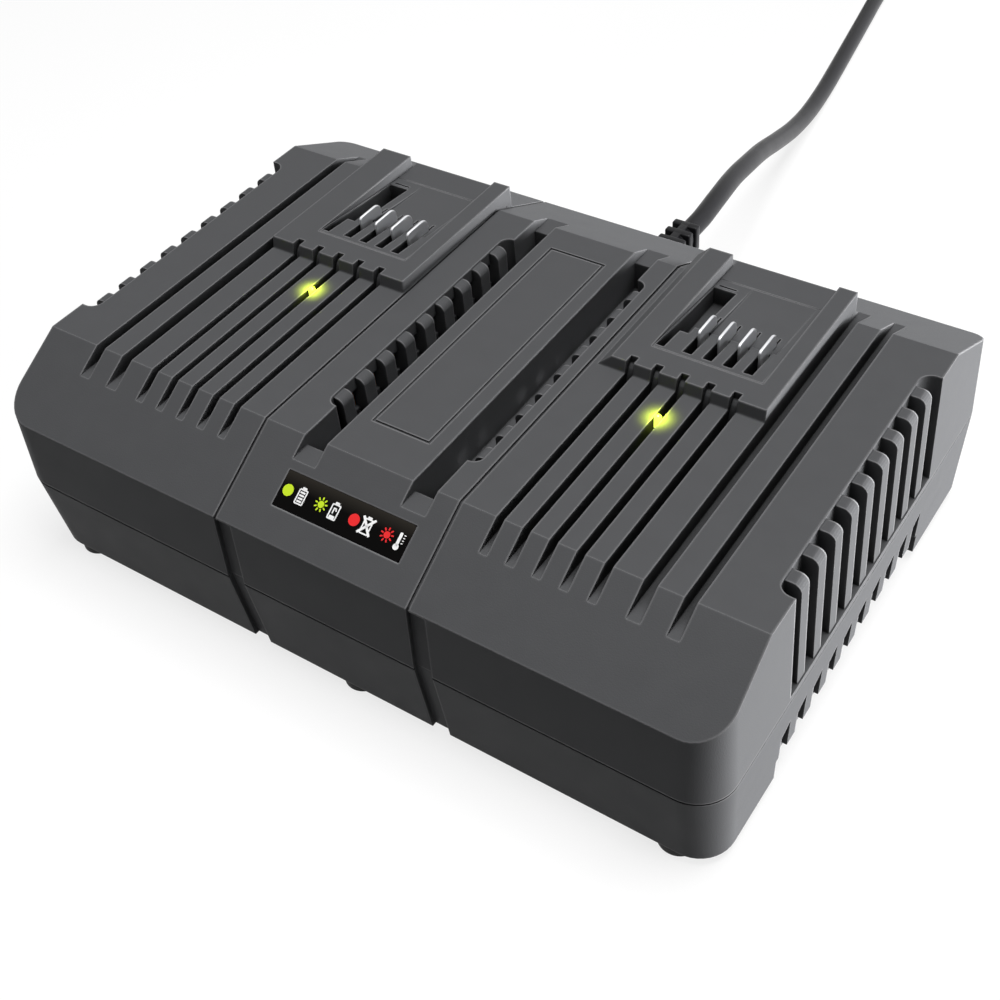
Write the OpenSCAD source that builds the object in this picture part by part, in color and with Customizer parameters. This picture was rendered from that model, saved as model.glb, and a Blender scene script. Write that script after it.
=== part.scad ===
// Two-bay battery charger for cordless garden tools, with its mains cord.
// Origin: middle of the footprint, on the surface that the feet stand on.
// +X is the right-hand bay, +Y the cord side, +Z up. All sizes in millimetres.

/* [Body] */
// Width of the case at the parting line
body_w = 255.4; // [250:0.2:290]
// Depth of the case at the parting line
body_d = 180; // [172:1:210]
// Height of the parting line above the table
part_z = 35; // [33:0.5:40]
// Height at which the front face turns into its slope
fold_z = 59.5; // [57:0.5:62]
// Height at which the back face turns into its slope
back_fold_z = 63; // [62.5:0.5:65]
// Height of the flat top
top_z = 76; // [74:0.5:82]
// Height of the underside, which is also how far the feet stand out
base_z = 4; // [3:0.5:5]
// How much narrower the case is at the front fold than at the parting line
fold_taper = 2; // [1:0.5:4]
// Depth of the flat top between the two slopes
top_d = 121.6; // [116:0.4:126]
// How much narrower the underside is than the parting line
base_taper_w = 1.6; // [1:0.2:4]
// How much shallower the underside is than the parting line
base_taper_d = 7; // [4:0.5:10]
// Radius of the front corners in plan
front_r = 12; // [8:0.5:14]
// Radius of the back corners in plan
back_r = 6; // [4:0.5:9]
// Wall thickness of both shells
wall = 2.5; // [2:0.1:3]

/* [Battery bays] */
// Distance of each bay's middle from the middle of the case
bay_x = 63.6; // [62:0.2:66]
// Height of the raised platform above the flat top
platform_h = 4; // [3:0.5:5]
// Half the width of the raised platform
platform_half_w = 27.3; // [26.5:0.1:29]
// Where the front of the platform starts
platform_y0 = 7; // [5:0.5:8]
// Where the platform ends at the back
platform_y1 = 69.5; // [65:0.5:71]
// Run of the platform's slanted front
platform_run = 0.8; // [0.6:0.1:4]
// Width of the slanted left edge of the right-hand platform
bar_chamfer_w = 4.2; // [3:0.2:5]
// Number of cooling slots in a bay
slot_n = 5; // [3:1:5]
// Distance from one cooling slot to the next
slot_pitch = 8.4; // [8:0.1:9]
// Width of a cooling slot
slot_w = 2.5; // [2:0.1:3]
// Depth of the slots and grooves below the flat top
slot_depth = 5.5; // [4.5:0.25:6]
// Depth of a slot where it crosses the platform
slot_shallow = 2.4; // [2:0.2:3]
// Where the slots end on the platform
slot_y1 = 10.8; // [10.2:0.2:14]
// Inner groove beside the bay, near and far side from the middle of the case
groove_a = [90.6, 94.6];
// Outer groove beside the bay, near and far side from the middle of the case
groove_b = [102.2, 105.8];
// Thickness of the floor and sides of slots, grooves and troughs
channel_wall = 1.6; // [1.2:0.1:2]

/* [Terminal block] */
// Left edge of the terminal block, from the middle of its bay
deck_x0 = -15; // [-16:0.5:-14]
// Right edge of the terminal block, from the middle of its bay
deck_x1 = 21; // [20:0.5:22]
// Front edge of the terminal block
deck_y0 = 17.5; // [17:0.1:18.5]
// Back edge of the terminal block
deck_y1 = 61.5; // [60.5:0.5:63]
// How far the block's top slopes down from front to back
deck_drop = 4.2; // [3:0.2:5]
// Height of the terminal block
deck_h = 13; // [12:0.5:15]
// Width of the rim by which the block bears on the inside of the case
deck_rim = 2; // [1.5:0.25:2.5]
// Distance from one contact blade to the next
blade_pitch = 6.55; // [6.2:0.05:6.8]
// Middle of the four blades, from the middle of the bay
blade_mid = 5.3; // [5:0.1:5.8]
// Thickness of a contact blade
blade_t = 0.9; // [0.6:0.1:1.2]
// Length of a contact blade
blade_l = 11; // [9:0.5:12]
// Front end of the blades
blade_y0 = 27; // [25:0.5:28]
// Height of the blades' tips above the platform
blade_proud = 2.6; // [1.5:0.2:3]
// Width of the channel that a blade stands in
channel_w = 3; // [2.6:0.1:3.4]
// Front end of the blade channels
channel_y0 = 19.6; // [19:0.2:21]
// Back end of the ribs between the blades
rib_y1 = 32.6; // [31:0.2:34]
// Depth of the step down behind the ribs
rib_step = 0.9; // [0.5:0.1:1.2]
// Clearance between a blade and its hole in the block
blade_gap = 0.05; // [0.02:0.01:0.1]

/* [Middle section] */
// Middle of the centre plate and its two troughs
mid_x = 2.65; // [2:0.05:3]
// Distance of each trough's middle from the middle of the plate
trough_off = 19.4; // [18.5:0.1:20.5]
// Width of a trough
trough_w = 8.2; // [7:0.2:9]
// Depth of a trough's two mouths below the flat top
trough_mouth = 4; // [3:0.5:5]
// Depth of a trough between its mouths
trough_depth = 14; // [11:0.5:15]
// Depth of the recess in a trough's outer wall
recess_w = 3.6; // [3:0.1:4.4]
// Front and back end of that recess
recess_y = [-46.5, 48.3];
// Number of cooling fins in the recess
fin_n = 9; // [7:1:9]
// Distance from one fin to the next
fin_pitch = 10.3; // [9.8:0.1:10.6]
// Thickness of a fin
fin_t = 5; // [4:0.2:6]
// Rounding of the fins' exposed corner
fin_r = 2.4; // [1:0.2:3]
// Where the two seams cross the flat top
seam_x = [-35.5, 34];
// Width of a seam
seam_w = 0.9; // [0.6:0.1:1.2]
// Depth of a seam
seam_depth = 0.8; // [0.5:0.1:1]
// Width of the groove that runs down the front below a seam
seam_front_w = 6; // [3:0.1:7]
// Depth of that groove
seam_front_depth = 1.6; // [1:0.1:1.8]
// Height of the shadow line that runs round the case between its two shells
shadow_h = 0.6; // [0.4:0.1:0.8]
// Depth of the shadow line
shadow_depth = 0.7; // [0.5:0.1:0.9]
// Width of the frame line engraved in the centre plate
frame_line = 0.8; // [0.5:0.1:1.2]
// Frame engraved in the centre plate: width and depth in plan
frame_size = [19.8, 96.1];
// Middle of the engraved frame, towards the cord side
frame_y = 2; // [0:0.5:4]
// Width of the status label
label_w = 45.2; // [40:0.2:50]
// Height of the status label along the slope
label_h = 11.2; // [9:0.2:13]
// Distance of the label's middle from the top of the slope
label_drop = 16.6; // [14:0.2:18]
// Thickness of the label
label_t = 0.5; // [0.3:0.1:0.8]

/* [Side vents] */
// Front and back end of the vent recess in each side
vent_y = [-47.5, 48.5];
// Depth of the vent recess
vent_depth = 5.5; // [4.5:0.25:6.5]
// Height of the recess floor above the parting line
vent_floor = 2; // [1.5:0.25:4]
// Number of fins in a side vent
vent_fin_n = 9; // [7:1:9]
// Distance from one vent fin to the next
vent_pitch = 10.1; // [9.6:0.1:10.4]
// Thickness of a vent fin
vent_fin_t = 4.6; // [4:0.2:6]
// Clearance of the fins behind the case's side
vent_fin_in = 0.5; // [0.2:0.1:1]
// Number of slots in the lower side wall
low_slot_n = 10; // [8:1:10]
// Distance from one lower slot to the next
low_pitch = 10.2; // [10:0.1:10.4]
// Width of a lower slot
low_slot_w = 5; // [4:0.2:6]
// Height of the lower slots' top above the table
low_slot_z = 23.5; // [21:0.5:26]
// Height above the table of the side wall's lower edge at the slots
low_edge_z = 12; // [10:0.5:13]
// Front end of the raised lower edge
low_edge_y0 = -51.5; // [-53:0.5:-50]

/* [Feet and screws] */
// Diameter of a foot
foot_d = 13; // [10:0.5:14]
// Distance of the outer feet from the case's side
foot_in_x = 15.2; // [14.2:0.5:20]
// Distance of the feet from the front and back faces
foot_in_y = 10.2; // [10:0.1:14]
// Diameter of the plug that holds a foot in the base
foot_plug_d = 5; // [4:0.5:6]
// Shank diameter of the case screws
screw_d = 3; // [2.5:0.1:3.5]
// Head diameter of the case screws
screw_head_d = 5.6; // [5:0.2:6.4]
// Diameter of the screw bosses
boss_d = 8; // [7.6:0.2:9]
// Distance of the outer screws from the case's side
boss_in_x = 16; // [15:0.5:18]
// Distance of the outer screws from the middle line
boss_y = 60; // [57:0.5:61]
// Distance of the two middle screws from the front and back faces
boss_mid_in = 26; // [25:0.5:28]
// How far the rear middle screw stands aside from the cord
boss_off = 26.5; // [25:0.5:30]
// Radial clearance round screws and plugs
fit = 0.1; // [0.05:0.01:0.2]

/* [Electronics] */
// Distance of the circuit board's edges from the case's sides, and from its front and back
pcb_in = [44.7, 38];
// Thickness of the circuit boards
pcb_t = 1.6; // [1.2:0.2:2]
// Height of the board's underside above the case's floor
pcb_lift = 7; // [5:0.5:9]
// Diameter of a light pipe
lens_d = 2.1; // [1.6:0.1:2.2]
// Distance of the light pipes from the middle line
lens_y = -5.5; // [-8:0.5:-4]
// Size of a light board
lamp_board = [24, 10];

/* [Fan] */
// Side of the fan's frame
fan_size = 40; // [36:1:44]
// Thickness of the fan
fan_t = 10; // [9:0.5:12]
// Distance of the fan's outer face from the case's side
fan_in_x = 23.7; // [22:0.1:27]
// Diameter of the fan's shaft
shaft_d = 3; // [2:0.2:3.6]
// Radial running clearance of the shaft
run_gap = 0.05; // [0.02:0.01:0.09]
// Clearance between blade tips and frame
tip_gap = 0.6; // [0.4:0.1:1]
// Number of fan blades
fan_blades = 7; // [5:1:9]

/* [Cord] */
// Diameter of the mains cord
cord_d = 7.5; // [7:0.1:7.6]
// Where the cord leaves the back wall, sideways
cord_x = 8; // [6:0.5:10]
// Height of the cord where it leaves the back wall
cord_z = 47; // [45:0.5:48]
// Width and height of the strain relief
boot_w = 10; // [9.6:0.2:12]
// Length of the strain relief outside the case
boot_l = 26; // [24:0.5:30]
// Number of ribs on the strain relief
boot_ribs = 4; // [3:1:5]
// Radius of the outer turns of the coiled cord
coil_r = 53; // [52:0.5:58]
// Distance between turns lying side by side
coil_pitch = 8.2; // [8.1:0.1:9]
// Distance between the two layers of turns
coil_layer = 8; // [8:0.1:8.4]
// Turns in each layer
coil_turns = 2.375; // [2.375:1:2.375]
// Length of the plug's body
plug_l = 32; // [30:0.5:38]
// Width of the plug's body
plug_w = 27; // [25:0.5:30]
// Length of the plug's flat pins
pin_l = 16; // [14:0.5:18]
// Distance between the plug's flat pins
pin_gap = 12.7; // [12:0.1:13]

/* [Hidden] */

$fn = 48;
cut = 200;          // longer than anything that a cutter goes through
eps = 0.01;         // overlap that makes neighbouring solids one
SIDES = [-1, 1];    // left and right, or front and back

// The flat top, the slopes and the walls
slope_t = (top_z - fold_z) / ((body_d - fold_taper - top_d) / 2);
slope_a = atan(slope_t);
draft = fold_taper / 2 / (fold_z - part_z);
back_fold_y = body_d / 2 - (back_fold_z - part_z) * draft;
back_slope_t = (top_z - back_fold_z) / (back_fold_y - top_d / 2);
in_drop = wall * sqrt(1 + slope_t * slope_t);
in_top_d = top_d - 2 * (in_drop - wall) / slope_t;
in_fold_z = top_z - in_drop - (body_d / 2 - fold_taper / 2 - wall - top_d / 2) * slope_t;
roof_z = top_z - wall;
floor_z = base_z + wall;
deck_z = top_z + platform_h;
slot_z = top_z - slot_depth;
corner_steps = 10;
in_top_r = 1;       // rounding of the inside's upper corners

function side_at(z) = body_w / 2 - (z - part_z) * draft;
function front_at(z) = z > part_z
    ? -body_d / 2 + (z - part_z) * draft
    : -body_d / 2 + (part_z - z) * base_taper_d / 2 / (part_z - base_z);
function back_slope_at(y) = top_z - (y - top_d / 2) * back_slope_t;

// A ring of points: a rectangle with rounded corners, seen from above, at height z
function arc(cx, cy, r, a) =
    [for (i = [0:corner_steps])
        [cx + r * cos(a + 90 * i / corner_steps), cy + r * sin(a + 90 * i / corner_steps)]];
function ring(w, d, rf, rb, z) =
    [for (p = concat(arc(w / 2 - rb, d / 2 - rb, rb, 0), arc(rb - w / 2, d / 2 - rb, rb, 90),
            arc(rf - w / 2, rf - d / 2, rf, 180), arc(w / 2 - rf, rf - d / 2, rf, 270)))
        [p[0], p[1], z]];

// A solid through rings that have the same number of points
module loft(rings) {
    n = len(rings[0]);
    m = len(rings);
    polyhedron(points = [for (r = rings) for (p = r) p],
        faces = concat([[for (i = [0:n - 1]) i]],
            [for (k = [0:m - 2]) for (i = [0:n - 1])
                [k * n + i, (k + 1) * n + i, (k + 1) * n + (i + 1) % n, k * n + (i + 1) % n]],
            [[for (i = [0:n - 1]) m * n - 1 - i]]));
}

module box(a, b) {
    translate(a) cube(b - a);
}

// A profile of [y, z] points, drawn out from x0 to x1
module along_x(points, x0, x1) {
    translate([x0, 0, 0]) rotate([90, 0, 90]) linear_extrude(x1 - x0) polygon(points);
}

// A profile of [x, z] points, drawn out from y0 to y1
module along_y(points, y0, y1) {
    translate([0, y1, 0]) rotate([90, 0, 0]) linear_extrude(y1 - y0) polygon(points);
}

// ---- Tubes swept along points ----
function unit(v) = v / norm(v);
function heading(p, i) = unit(p[min(i + 1, len(p) - 1)] - p[max(i - 1, 0)]);
function tube_ring(c, t, up, r, n) =
    let (s = unit(cross(t, up)), u = cross(t, s))
    [for (k = [0:n - 1]) c + r * cos(360 * k / n) * s + r * sin(360 * k / n) * u];

// up must not run along the tube anywhere
module tube(points, r, n, up = [0, 0, 1]) {
    m = len(points);
    rings = [for (i = [0:m - 1]) tube_ring(points[i], heading(points, i), up, r, n)];
    polyhedron(points = [for (g = rings) for (p = g) p],
        faces = concat([for (k = [1:n - 2]) [0, k, k + 1]],
            [for (j = [0:m - 2]) for (k = [0:n - 1])
                let (a = j * n + k, b = j * n + (k + 1) % n) each [[a, a + n, b + n], [a, b + n, b]]],
            [for (k = [1:n - 2]) [(m - 1) * n, (m - 1) * n + k + 1, (m - 1) * n + k]]));
}

// Points of a smooth curve through p, with `steps` to each stretch; its two end stretches are straight
function curve_at(a, b, c, d, t) =
    0.5 * (2 * b + (c - a) * t + (2 * a - 5 * b + 4 * c - d) * t * t
        + (3 * b - a - 3 * c + d) * t * t * t);
function smooth(p, steps) =
    concat([p[0]], [for (i = [1:len(p) - 3]) for (k = [0:steps - 1])
        curve_at(p[i - 1], p[i], p[i + 1], p[i + 2], k / steps)],
        [p[len(p) - 2], p[len(p) - 1]]);
function path_length(p) = sum([for (i = [1:len(p) - 1]) norm(p[i] - p[i - 1])]);
function sum(v, i = 0) = i < len(v) ? v[i] + sum(v, i + 1) : 0;

// ---- Housings ----
// Upright walls with round corners, cut off by the flat top and its two slopes
module upper_outer() {
    lean = (top_z + eps - part_z) * draft;
    intersection() {
        loft([ring(body_w, body_d, front_r, back_r, part_z),
            ring(body_w - 2 * lean, body_d - 2 * lean, front_r - lean, back_r - lean, top_z + eps)]);
        along_x([[-cut, part_z - cut], [cut, part_z - cut], [cut, back_slope_at(cut)],
            [top_d / 2, top_z], [-top_d / 2, top_z], [-cut, top_z - (cut - top_d / 2) * slope_t]],
            -body_w, body_w);
    }
}

module upper_inner() {
    in = 2 * wall;
    loft([ring(body_w - in, body_d - in, front_r - wall, back_r - wall, part_z - eps),
        ring(body_w - fold_taper - in, body_d - fold_taper - in, front_r - fold_taper / 2 - wall,
            back_r - fold_taper / 2 - wall, in_fold_z),
        ring(2 * side_at(top_z) - in, in_top_d, in_top_r, in_top_r, roof_z)]);
}

// x of the slots' middles in the bay whose middle is at x
function slot_xs(x) = [for (i = [0:slot_n - 1]) x + (i - (slot_n - 1) / 2) * slot_pitch];

// The walls that carry the slots and grooves, inside the case
module slot_channels(x) {
    half = slot_w / 2 + channel_wall;
    for (sx = slot_xs(x))
        box([sx - half, -body_d / 2, slot_z - channel_wall], [sx + half, slot_y1 + channel_wall, top_z]);
    for (g = [groove_a, groove_b])
        box([sign(x) * (g[0] + g[1]) / 2 - (g[1] - g[0]) / 2 - channel_wall, -body_d / 2,
            slot_z - channel_wall],
            [sign(x) * (g[0] + g[1]) / 2 + (g[1] - g[0]) / 2 + channel_wall, body_d / 2, top_z]);
}

// A slot: deep on the flat top, then a curved climb and a square end on the platform
module slot_cut(sx) {
    bend = [for (i = [0:4]) let (t = i / 4)
        [platform_y0 - 1 + 4 * t, slot_z + (deck_z - slot_shallow - slot_z) * (t * t * (3 - 2 * t))]];
    along_x(concat([[-cut, slot_z], [platform_y0 - 1, slot_z]], bend,
        [[slot_y1, deck_z - slot_shallow], [slot_y1, cut], [-cut, cut]]),
        sx - slot_w / 2, sx + slot_w / 2);
}

// Openings in the floor of a slot, between short ribs
slot_hole_n = 4;
slot_hole_l = 11;
slot_hole_pitch = 13;
slot_hole_w = 1.7;
module slot_holes(sx) {
    for (i = [0:slot_hole_n - 1])
        translate([sx, -top_d / 2 + 8 + i * slot_hole_pitch, slot_z])
            cube([slot_hole_w, slot_hole_l, 4 * channel_wall], center = true);
}

// The raised platform of a bay; the right-hand one has a slanted left edge
module platform(x) {
    foot_z = back_slope_at(platform_y1) - wall;
    difference() {
        along_x([[platform_y0, roof_z], [platform_y0, top_z], [platform_y0 + platform_run, deck_z],
            [platform_y1, deck_z], [platform_y1 + 0.6, foot_z], [platform_y1 - wall, foot_z],
            [platform_y1 - wall, roof_z]], x - platform_half_w, x + platform_half_w);
        if (x > 0)
            along_y([[x - platform_half_w - eps, top_z], [x - platform_half_w + bar_chamfer_w, deck_z + eps],
                [x - platform_half_w - eps, deck_z + eps]], 0, body_d / 2);
    }
}

// The opening for the terminal block, and the lower plate behind it
deck_back_z = deck_z - deck_drop;
plate_out = 4;      // how far the plate reaches out behind the platform
plate_y1 = platform_y1 + plate_out;
module deck_opening(x) {
    box([x + deck_x0, deck_y0, 0], [x + deck_x1, deck_y1, cut]);
    box([x + deck_x0, deck_y1 - eps, deck_back_z], [x + deck_x1, cut, cut]);
}

module back_plate(x) {
    along_x([[deck_y1, roof_z], [deck_y1, deck_back_z], [plate_y1 - 1, deck_back_z],
        [plate_y1, deck_back_z - 1], [plate_y1, back_slope_at(plate_y1) - wall],
        [plate_y1 - 6, back_slope_at(plate_y1) - wall]],
        x + deck_x0, x + deck_x1);
}

// One trough: side is -1 for the left one, 1 for the right one
function trough_x(side) = mid_x + side * trough_off;
module trough_walls(side) {
    x = trough_x(side);
    a = trough_w / 2 + channel_wall;
    b = trough_w / 2 + recess_w + channel_wall;
    box([min(x - side * a, x + side * b), -body_d / 2, top_z - trough_mouth - channel_wall],
        [max(x - side * a, x + side * b), body_d / 2, top_z]);
    box([min(x - side * a, x + side * b), -top_d / 2 - channel_wall, top_z - trough_depth - channel_wall],
        [max(x - side * a, x + side * b), top_d / 2 + channel_wall, top_z]);
}

module trough_cut(side) {
    x = trough_x(side);
    half = trough_w / 2;
    box([x - half, -cut, top_z - trough_mouth], [x + half, cut, cut]);
    box([x - half, -top_d / 2, top_z - trough_depth], [x + half, top_d / 2, cut]);
    // recess with rounded ends in the outer wall
    r = recess_w - 0.4;
    x1 = x + side * (half + recess_w);
    for (y = [recess_y[0] + r, recess_y[1] - r])
        translate([x1 - side * r, y, top_z - trough_depth]) cylinder(r = r, h = cut);
    box([min(x, x1), recess_y[0] + r, top_z - trough_depth], [max(x, x1), recess_y[1] - r, cut]);
    box([min(x, x1 - side * r), recess_y[0], top_z - trough_depth],
        [max(x, x1 - side * r), recess_y[1], cut]);
    // windows into the case between the fins
    for (i = [0:fin_n - 2])
        translate([x1 + side * channel_wall / 2, fin_y(i) + fin_pitch / 2, top_z - trough_depth / 2 - 1.5])
            cube([3 * channel_wall, fin_pitch - fin_t, trough_depth / 2], center = true);
}

function fin_y(i) = (recess_y[0] + recess_y[1]) / 2 - 0.7 + (i - (fin_n - 1) / 2) * fin_pitch;
module trough_fins(side) {
    x = trough_x(side) + side * (trough_w / 2 + 0.2);
    w = recess_w + channel_wall / 2 - 0.2;
    z0 = top_z - trough_depth - eps;
    h = trough_depth - 0.6;
    for (i = [0:fin_n - 1])
        translate([x, fin_y(i) - fin_t / 2, z0]) mirror([side < 0 ? 1 : 0, 0, 0]) {
            cube([w, fin_t, h - fin_r]);
            translate([fin_r, 0, 0]) cube([w - fin_r, fin_t, h]);
            translate([fin_r, fin_t, h - fin_r]) rotate([90, 0, 0]) cylinder(r = fin_r, h = fin_t);
        }
}

// Seam lines: a thin line on the top and slopes that widens down the front face
module seams() {
    for (x = seam_x) {
        translate([x - seam_w / 2, -top_d / 2, top_z - seam_depth]) cube([seam_w, top_d, cut]);
        for (s = SIDES)
            translate([x - seam_w / 2, s * top_d / 2, top_z])
                rotate([s > 0 ? -atan(back_slope_t) : slope_a, 0, 0])
                translate([0, s > 0 ? -1 : -cut, -seam_depth]) cube([seam_w, cut + 1, cut]);
    }
    seam_grooves();
}

// The groove down the front face below each seam, in both shells: a wall on one side, a ramp on
// the other
module seam_grooves() {
    out = 1;        // how far the cutter stands out of the face
    ramp = 2;       // run of the groove's slanted side
    stop = 0.6;     // how far below the fold the groove ends
    for (x = seam_x)
        loft([for (z = [base_z - out, part_z, fold_z - stop])
            let (y = front_at(z), far = x + seam_front_w + stop)
                [[x - seam_w / 2, y - out, z], [far, y - out, z],
                    [far - ramp, y + seam_front_depth, z], [x - seam_w / 2, y + seam_front_depth, z]]]);
}

module frame_line_cut() {
    z = top_z - 0.5;
    difference() {
        translate([mid_x, frame_y, z + 5])
            cube([frame_size[0] + frame_line, frame_size[1] + frame_line, 10], center = true);
        translate([mid_x, frame_y, z + 5])
            cube([frame_size[0] - frame_line, frame_size[1] - frame_line, 11], center = true);
    }
}

// Moves its children to the middle of the label, with +Z out of the slope
module on_label() {
    translate([mid_x, -top_d / 2, top_z]) rotate([slope_a, 0, 0]) translate([0, -label_drop, 0]) children();
}

// The recess in a side wall, its inner wall and its fins; side is -1 or 1
vent_x = side_at(top_z) - vent_depth;
vent_z = part_z + vent_floor;
vent_r = 4;
module vent_wall(side) {
    box([side > 0 ? vent_x - wall : -body_w / 2, vent_y[0] - wall, part_z],
        [side > 0 ? body_w / 2 : wall - vent_x, vent_y[1] + wall, top_z]);
}

module vent_cut(side) {
    m = vent_r;
    translate([side * vent_x, 0, vent_z]) mirror([side < 0 ? 1 : 0, 0, 0]) linear_extrude(cut) {
        translate([0, vent_y[0] + m]) square([cut, vent_y[1] - vent_y[0] - 2 * m]);
        translate([m, vent_y[0]]) square([cut, vent_y[1] - vent_y[0]]);
        for (y = [vent_y[0] + m, vent_y[1] - m])
            translate([m, y]) circle(m);
    }
    for (i = [0:vent_fin_n - 2])
        translate([side * (vent_x - wall / 2), vent_fin_y(i) + vent_pitch / 2, (vent_z + roof_z) / 2])
            cube([2 * wall, vent_pitch - vent_fin_t - 1.5, roof_z - vent_z - 12], center = true);
}

function vent_fin_y(i) = (vent_y[0] + vent_y[1]) / 2 - 0.5 + (i - (vent_fin_n - 1) / 2) * vent_pitch;
module vent_fins(side) {
    r = vent_depth / 2;
    z1 = top_z - 0.8;
    lean = side_at(vent_z) - side_at(z1);
    x1 = side_at(vent_z) - vent_fin_in;
    for (i = [0:vent_fin_n - 1])
        mirror([side < 0 ? 1 : 0, 0, 0])
            along_y(concat([[vent_x - wall / 2, vent_z - eps], [x1, vent_z - eps], [x1 - lean, z1 - r]],
                [for (k = [1:5]) [x1 - lean - r + r * cos(18 * k), z1 - r + r * sin(18 * k)]],
                [[vent_x - wall / 2, z1]]), vent_fin_y(i) - vent_fin_t / 2, vent_fin_y(i) + vent_fin_t / 2);
}

// Screw positions: four near the corners, two on the middle line
boss_x = body_w / 2 - boss_in_x;
boss_mid_y = body_d / 2 - boss_mid_in;
boss_pos = [[-boss_x, -boss_y], [boss_x, -boss_y], [-boss_x, boss_y], [boss_x, boss_y],
    [mid_x, -boss_mid_y], [mid_x - boss_off, boss_mid_y]];

// The notch in the back wall that takes the strain relief
boot_gap = 0.1;
notch_w = boot_w + 2 * boot_gap;
notch_z1 = cord_z + boot_w / 2 + boot_gap;
lens_gap = 0.1;

module upper_housing() color([0.33, 0.335, 0.34]) {
    difference() {
        union() {
            difference() {
                upper_outer();
                upper_inner();
            }
            intersection() {
                upper_outer();
                union() {
                    for (x = [-bay_x, bay_x])
                        slot_channels(x);
                    for (s = SIDES) {
                        trough_walls(s);
                        vent_wall(s);
                    }
                    for (p = boss_pos)
                        translate([p[0], p[1], part_z]) cylinder(d = boss_d, h = top_z - part_z);
                }
            }
            for (x = [-bay_x, bay_x]) {
                platform(x);
                for (s = SIDES)
                    translate([x + s * slot_pitch, lens_y, lamp_z])
                        cylinder(d = 5, h = slot_z - channel_wall - lamp_z + eps);
            }
        }
        for (x = [-bay_x, bay_x]) {
            for (sx = slot_xs(x)) {
                slot_cut(sx);
                slot_holes(sx);
            }
            deck_opening(x);
            translate([x, lens_y, 0]) cylinder(d = lens_d + 2 * lens_gap, h = top_z);
            for (s = SIDES)
                translate([x + s * slot_pitch, lens_y, 0]) cylinder(d = lamp_peg_d, h = lamp_z + 3);
            for (g = [groove_a, groove_b])
                translate([sign(x) * (g[0] + g[1]) / 2 - (g[1] - g[0]) / 2, -cut, slot_z])
                    cube([g[1] - g[0], 2 * cut, cut]);
        }
        for (s = SIDES) {
            trough_cut(s);
            vent_cut(s);
        }
        for (p = boss_pos)
            translate([p[0], p[1], 0]) cylinder(d = screw_d + 2 * fit, h = screw_top + 1);
        seams();
        frame_line_cut();
        on_label() translate([0, 0, 5 - label_t])
            cube([label_w + 0.2, label_h + 0.2, 10], center = true);
        translate([cord_x - notch_w / 2, body_d / 2 - 3 * wall, 0]) cube([notch_w, 6 * wall, notch_z1]);
    }
    for (x = [-bay_x, bay_x])
        back_plate(x);
    for (s = SIDES) {
        trough_fins(s);
        vent_fins(s);
    }
}

// Lower shell
low_in = 3;             // how far the slotted wall stands in from the side
low_wall_x = body_w / 2 - base_taper_w / 2 - low_in;
lip_t = 1.2;
lip_h = 2.5;
foot_x = body_w / 2 - foot_in_x;
foot_y = body_d / 2 - foot_in_y;
head_z = base_z + 1.6;
screw_top = part_z + 14;

module lower_outer() {
    loft([ring(body_w - base_taper_w, body_d - base_taper_d, front_r - base_taper_w / 2,
        back_r - base_taper_w / 2, base_z), ring(body_w, body_d, front_r, back_r, part_z)]);
}

module lower_inner() {
    in = 2 * wall;
    f = (floor_z - base_z) / (part_z - base_z);
    loft([ring(body_w - base_taper_w * (1 - f) - in, body_d - base_taper_d * (1 - f) - in,
        front_r - wall, back_r - wall, floor_z), ring(body_w - in, body_d - in, front_r - wall,
        back_r - wall, part_z + eps)]);
}

// The step all round the upper edge that leaves a shadow line between the shells
module shadow_step() {
    in = 2 * shadow_depth;
    difference() {
        box([-body_w, -body_d, part_z - shadow_h], [body_w, body_d, part_z + eps]);
        loft([for (z = [part_z - 1, part_z + 1])
            ring(body_w - in, body_d - in, front_r - shadow_depth, back_r - shadow_depth, z)]);
    }
}

function low_slot_y(i) = low_edge_y0 + 1.5 + i * low_pitch;
low_edge_y1 = low_edge_y0 + 1.5 + (low_slot_n - 1) * low_pitch + low_slot_w + 1.5;

module low_side_cut(side) {
    mirror([side < 0 ? 1 : 0, 0, 0]) {
        box([low_wall_x, low_edge_y0, 0], [cut, low_edge_y1, low_edge_z]);
        for (i = [0:low_slot_n - 1]) {
            y = low_slot_y(i);
            along_x([[y, 0], [y + low_slot_w, 0], [y + low_slot_w, low_slot_z], [y, low_slot_z - 2.4]],
                low_wall_x, cut);
            box([low_wall_x - 2 * wall, y + 1, floor_z + 6],
                [low_wall_x + 1, y + low_slot_w - 1, low_slot_z - 3.4]);
        }
    }
}

pcb_size = [body_w - 2 * pcb_in[0], body_d - 2 * pcb_in[1]];
board_x = [-pcb_size[0] / 2 + 5, pcb_size[0] / 2 - 5];
board_y = [-pcb_size[1] / 2 + 5, pcb_size[1] / 2 - 5];
board_z = floor_z + pcb_lift;
board_top = board_z + pcb_t;
board_boss_d = 6;
board_screw_d = 2.4;
fan_z = floor_z + 3;
fan_x = body_w / 2 - fan_in_x;
fan_rail_h = 14;
clamp_y = body_d / 2 - 22;
clamp_off = 11;
clamp_seat_z = cord_z - cord_d / 2;
clamp_screw_d = 2.4;

module fan_rails() {
    // two walls that the fan's frame stands between, on a low shelf
    for (x = [-fan_x - 2, -fan_x + fan_t + fan_slack])
        translate([x, -fan_size / 2, floor_z - eps]) cube([2 - fan_slack, fan_size, fan_rail_h]);
    translate([-fan_x - 2, -fan_size / 2, floor_z - eps])
        cube([fan_t + 4, fan_size, fan_z - floor_z + eps]);
}

fan_slack = 0.1;

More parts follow.
